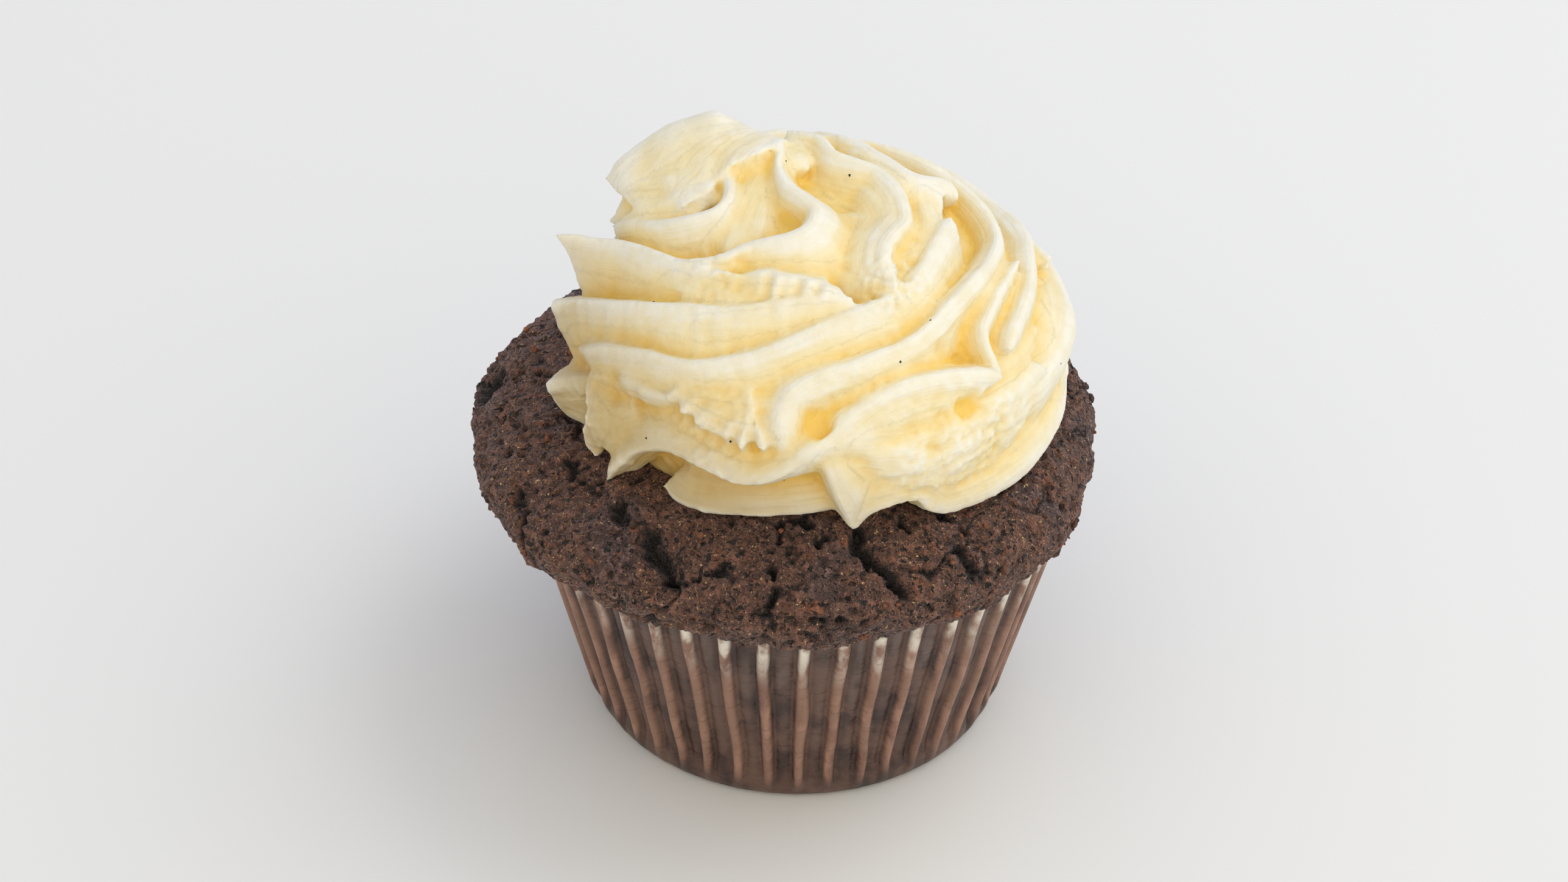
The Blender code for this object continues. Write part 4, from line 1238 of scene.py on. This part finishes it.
def paint_icing():
    """Waxy, slightly translucent buttercream."""
    material, tree, shader = new_material("buttercream")
    place = tree.nodes.new("ShaderNodeTexCoord").outputs["Object"]
    hollow = read_mark(tree, "hollow")
    ramp = tree.nodes.new("ShaderNodeValToRGB")
    tree.links.new(add_range(tree, hollow, -HOLLOW_SPAN, HOLLOW_SPAN, "LINEAR"), ramp.inputs["Fac"])
    ramp.color_ramp.elements[0].position = 0.2
    ramp.color_ramp.elements[0].color = (0.82, 0.795, 0.69, 1)
    ramp.color_ramp.elements[1].color = (0.87, 0.61, 0.14, 1)
    middle = ramp.color_ramp.elements.new(0.45)
    middle.color = (0.835, 0.745, 0.49, 1)
    slanted = tree.nodes.new("ShaderNodeVectorMath")
    slanted.operation = "DOT_PRODUCT"
    slanted.inputs[1].default_value = (0.45, 0, 1)
    tree.links.new(place, slanted.inputs[0])
    out_of_shade = add_range(tree, slanted.outputs["Value"], SHADE_BELOW * MM, UNSHADED_ABOVE * MM, "LINEAR")
    mottled = add_mix(tree, 1.0, ramp.outputs["Color"], (0.97, 0.94, 0.86), "MULTIPLY")
    mottled = add_mix(tree, add_patches(tree, place, 420, 4, 0.38, 0.66), ramp.outputs["Color"], mottled)
    # Painted shade: the lowest cream, most of all at the left, turns darker and yellower, except on its
    # crests.
    painted_shade = add_mix(tree, 1.0, mottled, (0.66, 0.56, 0.38), "MULTIPLY")
    painted_shade = add_mix(tree, add_range(tree, hollow, -0.5, -1.2), painted_shade, mottled)
    tree.links.new(add_mix(tree, out_of_shade, painted_shade, mottled), shader.inputs["Base Color"])
    shader.inputs["Roughness"].default_value = 0.5
    shader.inputs["Subsurface Weight"].default_value = 0.2
    shader.inputs["Subsurface Scale"].default_value = 0.002
    shader.inputs["Subsurface Radius"].default_value = (1.0, 0.7, 0.3)
    flow = tree.nodes.new("ShaderNodeCombineXYZ")
    tree.links.new(read_mark(tree, "along"), flow.inputs["X"])
    tree.links.new(read_mark(tree, "across"), flow.inputs["Y"])
    stretched = add_stretch(tree, flow.outputs["Vector"], (0.12, 2.2, 1))
    lines = tree.nodes.new("ShaderNodeTexNoise")
    lines.inputs["Scale"].default_value = 1
    lines.inputs["Detail"].default_value = 3
    tree.links.new(stretched, lines.inputs["Vector"])
    grain = tree.nodes.new("ShaderNodeTexNoise")
    grain.inputs["Scale"].default_value = 1100
    tree.links.new(place, grain.inputs["Vector"])
    combed = add_bump(tree, add_product(tree, lines.outputs["Fac"], read_mark(tree, "calm")), 0.5, 0.25)
    tree.links.new(add_bump(tree, grain.outputs["Fac"], 0.6, 0.2, combed), shader.inputs["Normal"])
    return material


swirl = build_icing(paint_icing())
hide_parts("icing")
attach(swirl, "root")
print("swirl:", len(swirl.data.vertices), "points,", len(swirl.data.polygons), "faces")

# %% [markdown]
# ## Crumbs and vanilla seeds
# Loose crumbs stick to the crust, nearly half of them along its lower edge, and some have baked
# orange. Tiny dark seeds show in the buttercream. Both are real grains: an uneven ball for each,
# set a little into the surface, all of one kind in one piece.

# %% Scatter grains


def ball():
    """Points and faces of a small round ball of radius 1."""
    shape = bmesh.new()
    bmesh.ops.create_icosphere(shape, subdivisions=2, radius=1)
    points = np.array([vert.co[:] for vert in shape.verts])
    faces = np.array([[vert.index for vert in face.verts] for face in shape.faces])
    shape.free()
    return points, faces


BALL_POINTS, BALL_FACES = ball()
LUMPINESS = 0.45


def scatter(name, places, sizes, tints, material, chance):
    """One piece of uneven grains with their middles at places; sizes in millimetres."""
    points = []
    faces = []
    for number, (place, size) in enumerate(zip(places, sizes)):
        shift = Vector((number, 0, 0))
        lumpy = [1 + LUMPINESS * noise.noise(Vector(point) * 1.3 + shift) for point in BALL_POINTS]
        turn = Vector(chance.normal(size=3)).rotation_difference(Vector((0, 0, 1))).to_matrix()
        shape = BALL_POINTS * np.array(lumpy)[:, None] * (1, chance.uniform(0.6, 1), chance.uniform(0.5, 0.9))
        points.append(place + size * shape @ np.array(turn))
        faces.append(BALL_FACES + number * len(BALL_POINTS))
    piece = piece_from(name, np.vstack(points), np.vstack(faces), material)
    mark(piece, "tint", np.repeat(tints, len(BALL_POINTS)))
    return piece


# %% [markdown]
# A crumb is the cake's own colour or, by its tint, a baked orange. A seed is nearly black with a
# hint of green.

# %% Crumbs on the crust
CRUMB_COUNT = 420
EDGE_SHARE = 0.45
EDGE_BAND = (1.4, 4.5)
CRUST_INNER_RADIUS = 27
CRUMB_SIZES = (0.18, 0.62)
CRUMB_STAND = 0.25  # share of a crumb's size that its middle stands above the crust


def paint_grain(name, dark, light):
    """A small grain: its colour goes from dark to light by its own tint and some noise."""
    material, tree, shader = new_material(name)
    place = tree.nodes.new("ShaderNodeTexCoord").outputs["Object"]
    spots = add_patches(tree, place, 2600, 3, 0.35, 0.65)
    tinted = add_mix(tree, read_mark(tree, "tint"), dark, light)
    shaded = add_mix(tree, 1.0, tinted, (0.45, 0.42, 0.40), "MULTIPLY")
    tree.links.new(add_mix(tree, spots, shaded, tinted), shader.inputs["Base Color"])
    shader.inputs["Roughness"].default_value = 0.7
    tree.links.new(add_bump(tree, spots, 0.8, 0.15), shader.inputs["Normal"])
    return material


def add_crumbs():
    """Crumbs over the crust, closer together along its lower edge."""
    chance = np.random.default_rng(7)
    skin = mesh_points(cake.data)
    outward = mesh_normals(cake.data)
    low, high = (RIM_HEIGHT + level for level in EDGE_BAND)
    on_edge = np.flatnonzero((skin[:, 2] > low) & (skin[:, 2] < high))
    outer = np.hypot(skin[:, 0], skin[:, 1]) > CRUST_INNER_RADIUS
    on_top = np.flatnonzero((skin[:, 2] > high) & outer)
    edge_count = int(CRUMB_COUNT * EDGE_SHARE)
    at_edge = chance.choice(on_edge, edge_count)
    chosen = np.concatenate([at_edge, chance.choice(on_top, CRUMB_COUNT - edge_count)])
    sizes = CRUMB_SIZES[0] + (CRUMB_SIZES[1] - CRUMB_SIZES[0]) * chance.random(CRUMB_COUNT) ** 2.5
    tints = chance.random(CRUMB_COUNT) ** 4
    places = skin[chosen] + outward[chosen] * (CRUMB_STAND * sizes)[:, None]
    material = paint_grain("loose crumb", (0.075, 0.034, 0.023), (0.36, 0.12, 0.045))
    return scatter("crumbs", places, sizes, tints, material, chance)


crumbs = add_crumbs()
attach(crumbs, "root")
print("crumbs:", len(crumbs.data.polygons), "faces")

# %% Seeds in the icing
# Each placed seed: (degrees to the right of the front, radius, height).
SEEDS = [
    (-132, 3.6, 72.3),
    (96, 4, 72.3),
    (-52, 21.6, 64.8),
    (37, 22.3, 65.2),
    (25, 25, 62.7),
    (-37, 30, 52.7),
    (-3, 29.6, 49.6),
    (73, 30, 53.2),
    (-16, 29, 55.3),
]
SEED_COUNT = 22
SEED_SIZES = (0.12, 0.20)
SEED_DEPTH = 0.04
BACK_FOOT = 47


def add_seeds():
    """The seeds of the front in their places, and the rest spread over the back of the icing."""
    chance = np.random.default_rng(11)
    skin = mesh_points(swirl.data)
    outward = mesh_normals(swirl.data)
    wanted = ring_points(*np.array(SEEDS, float).T, ICING_X)
    chosen = [np.linalg.norm(skin - place, axis=1).argmin() for place in wanted]
    faces_back = (outward[:, 1] > 0.3) & (outward[:, 2] > -0.2)
    hidden = np.flatnonzero((skin[:, 2] > BACK_FOOT) & faces_back)
    chosen = np.concatenate([chosen, chance.choice(hidden, SEED_COUNT - len(SEEDS))])
    sizes = chance.uniform(*SEED_SIZES, SEED_COUNT)
    places = skin[chosen] - outward[chosen] * SEED_DEPTH
    material = paint_grain("vanilla seed", (0.012, 0.016, 0.010), (0.05, 0.055, 0.03))
    return scatter("seeds", places, sizes, chance.random(SEED_COUNT), material, chance)


seeds = add_seeds()
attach(seeds, "root")
print("seeds:", len(seeds.data.polygons), "faces")
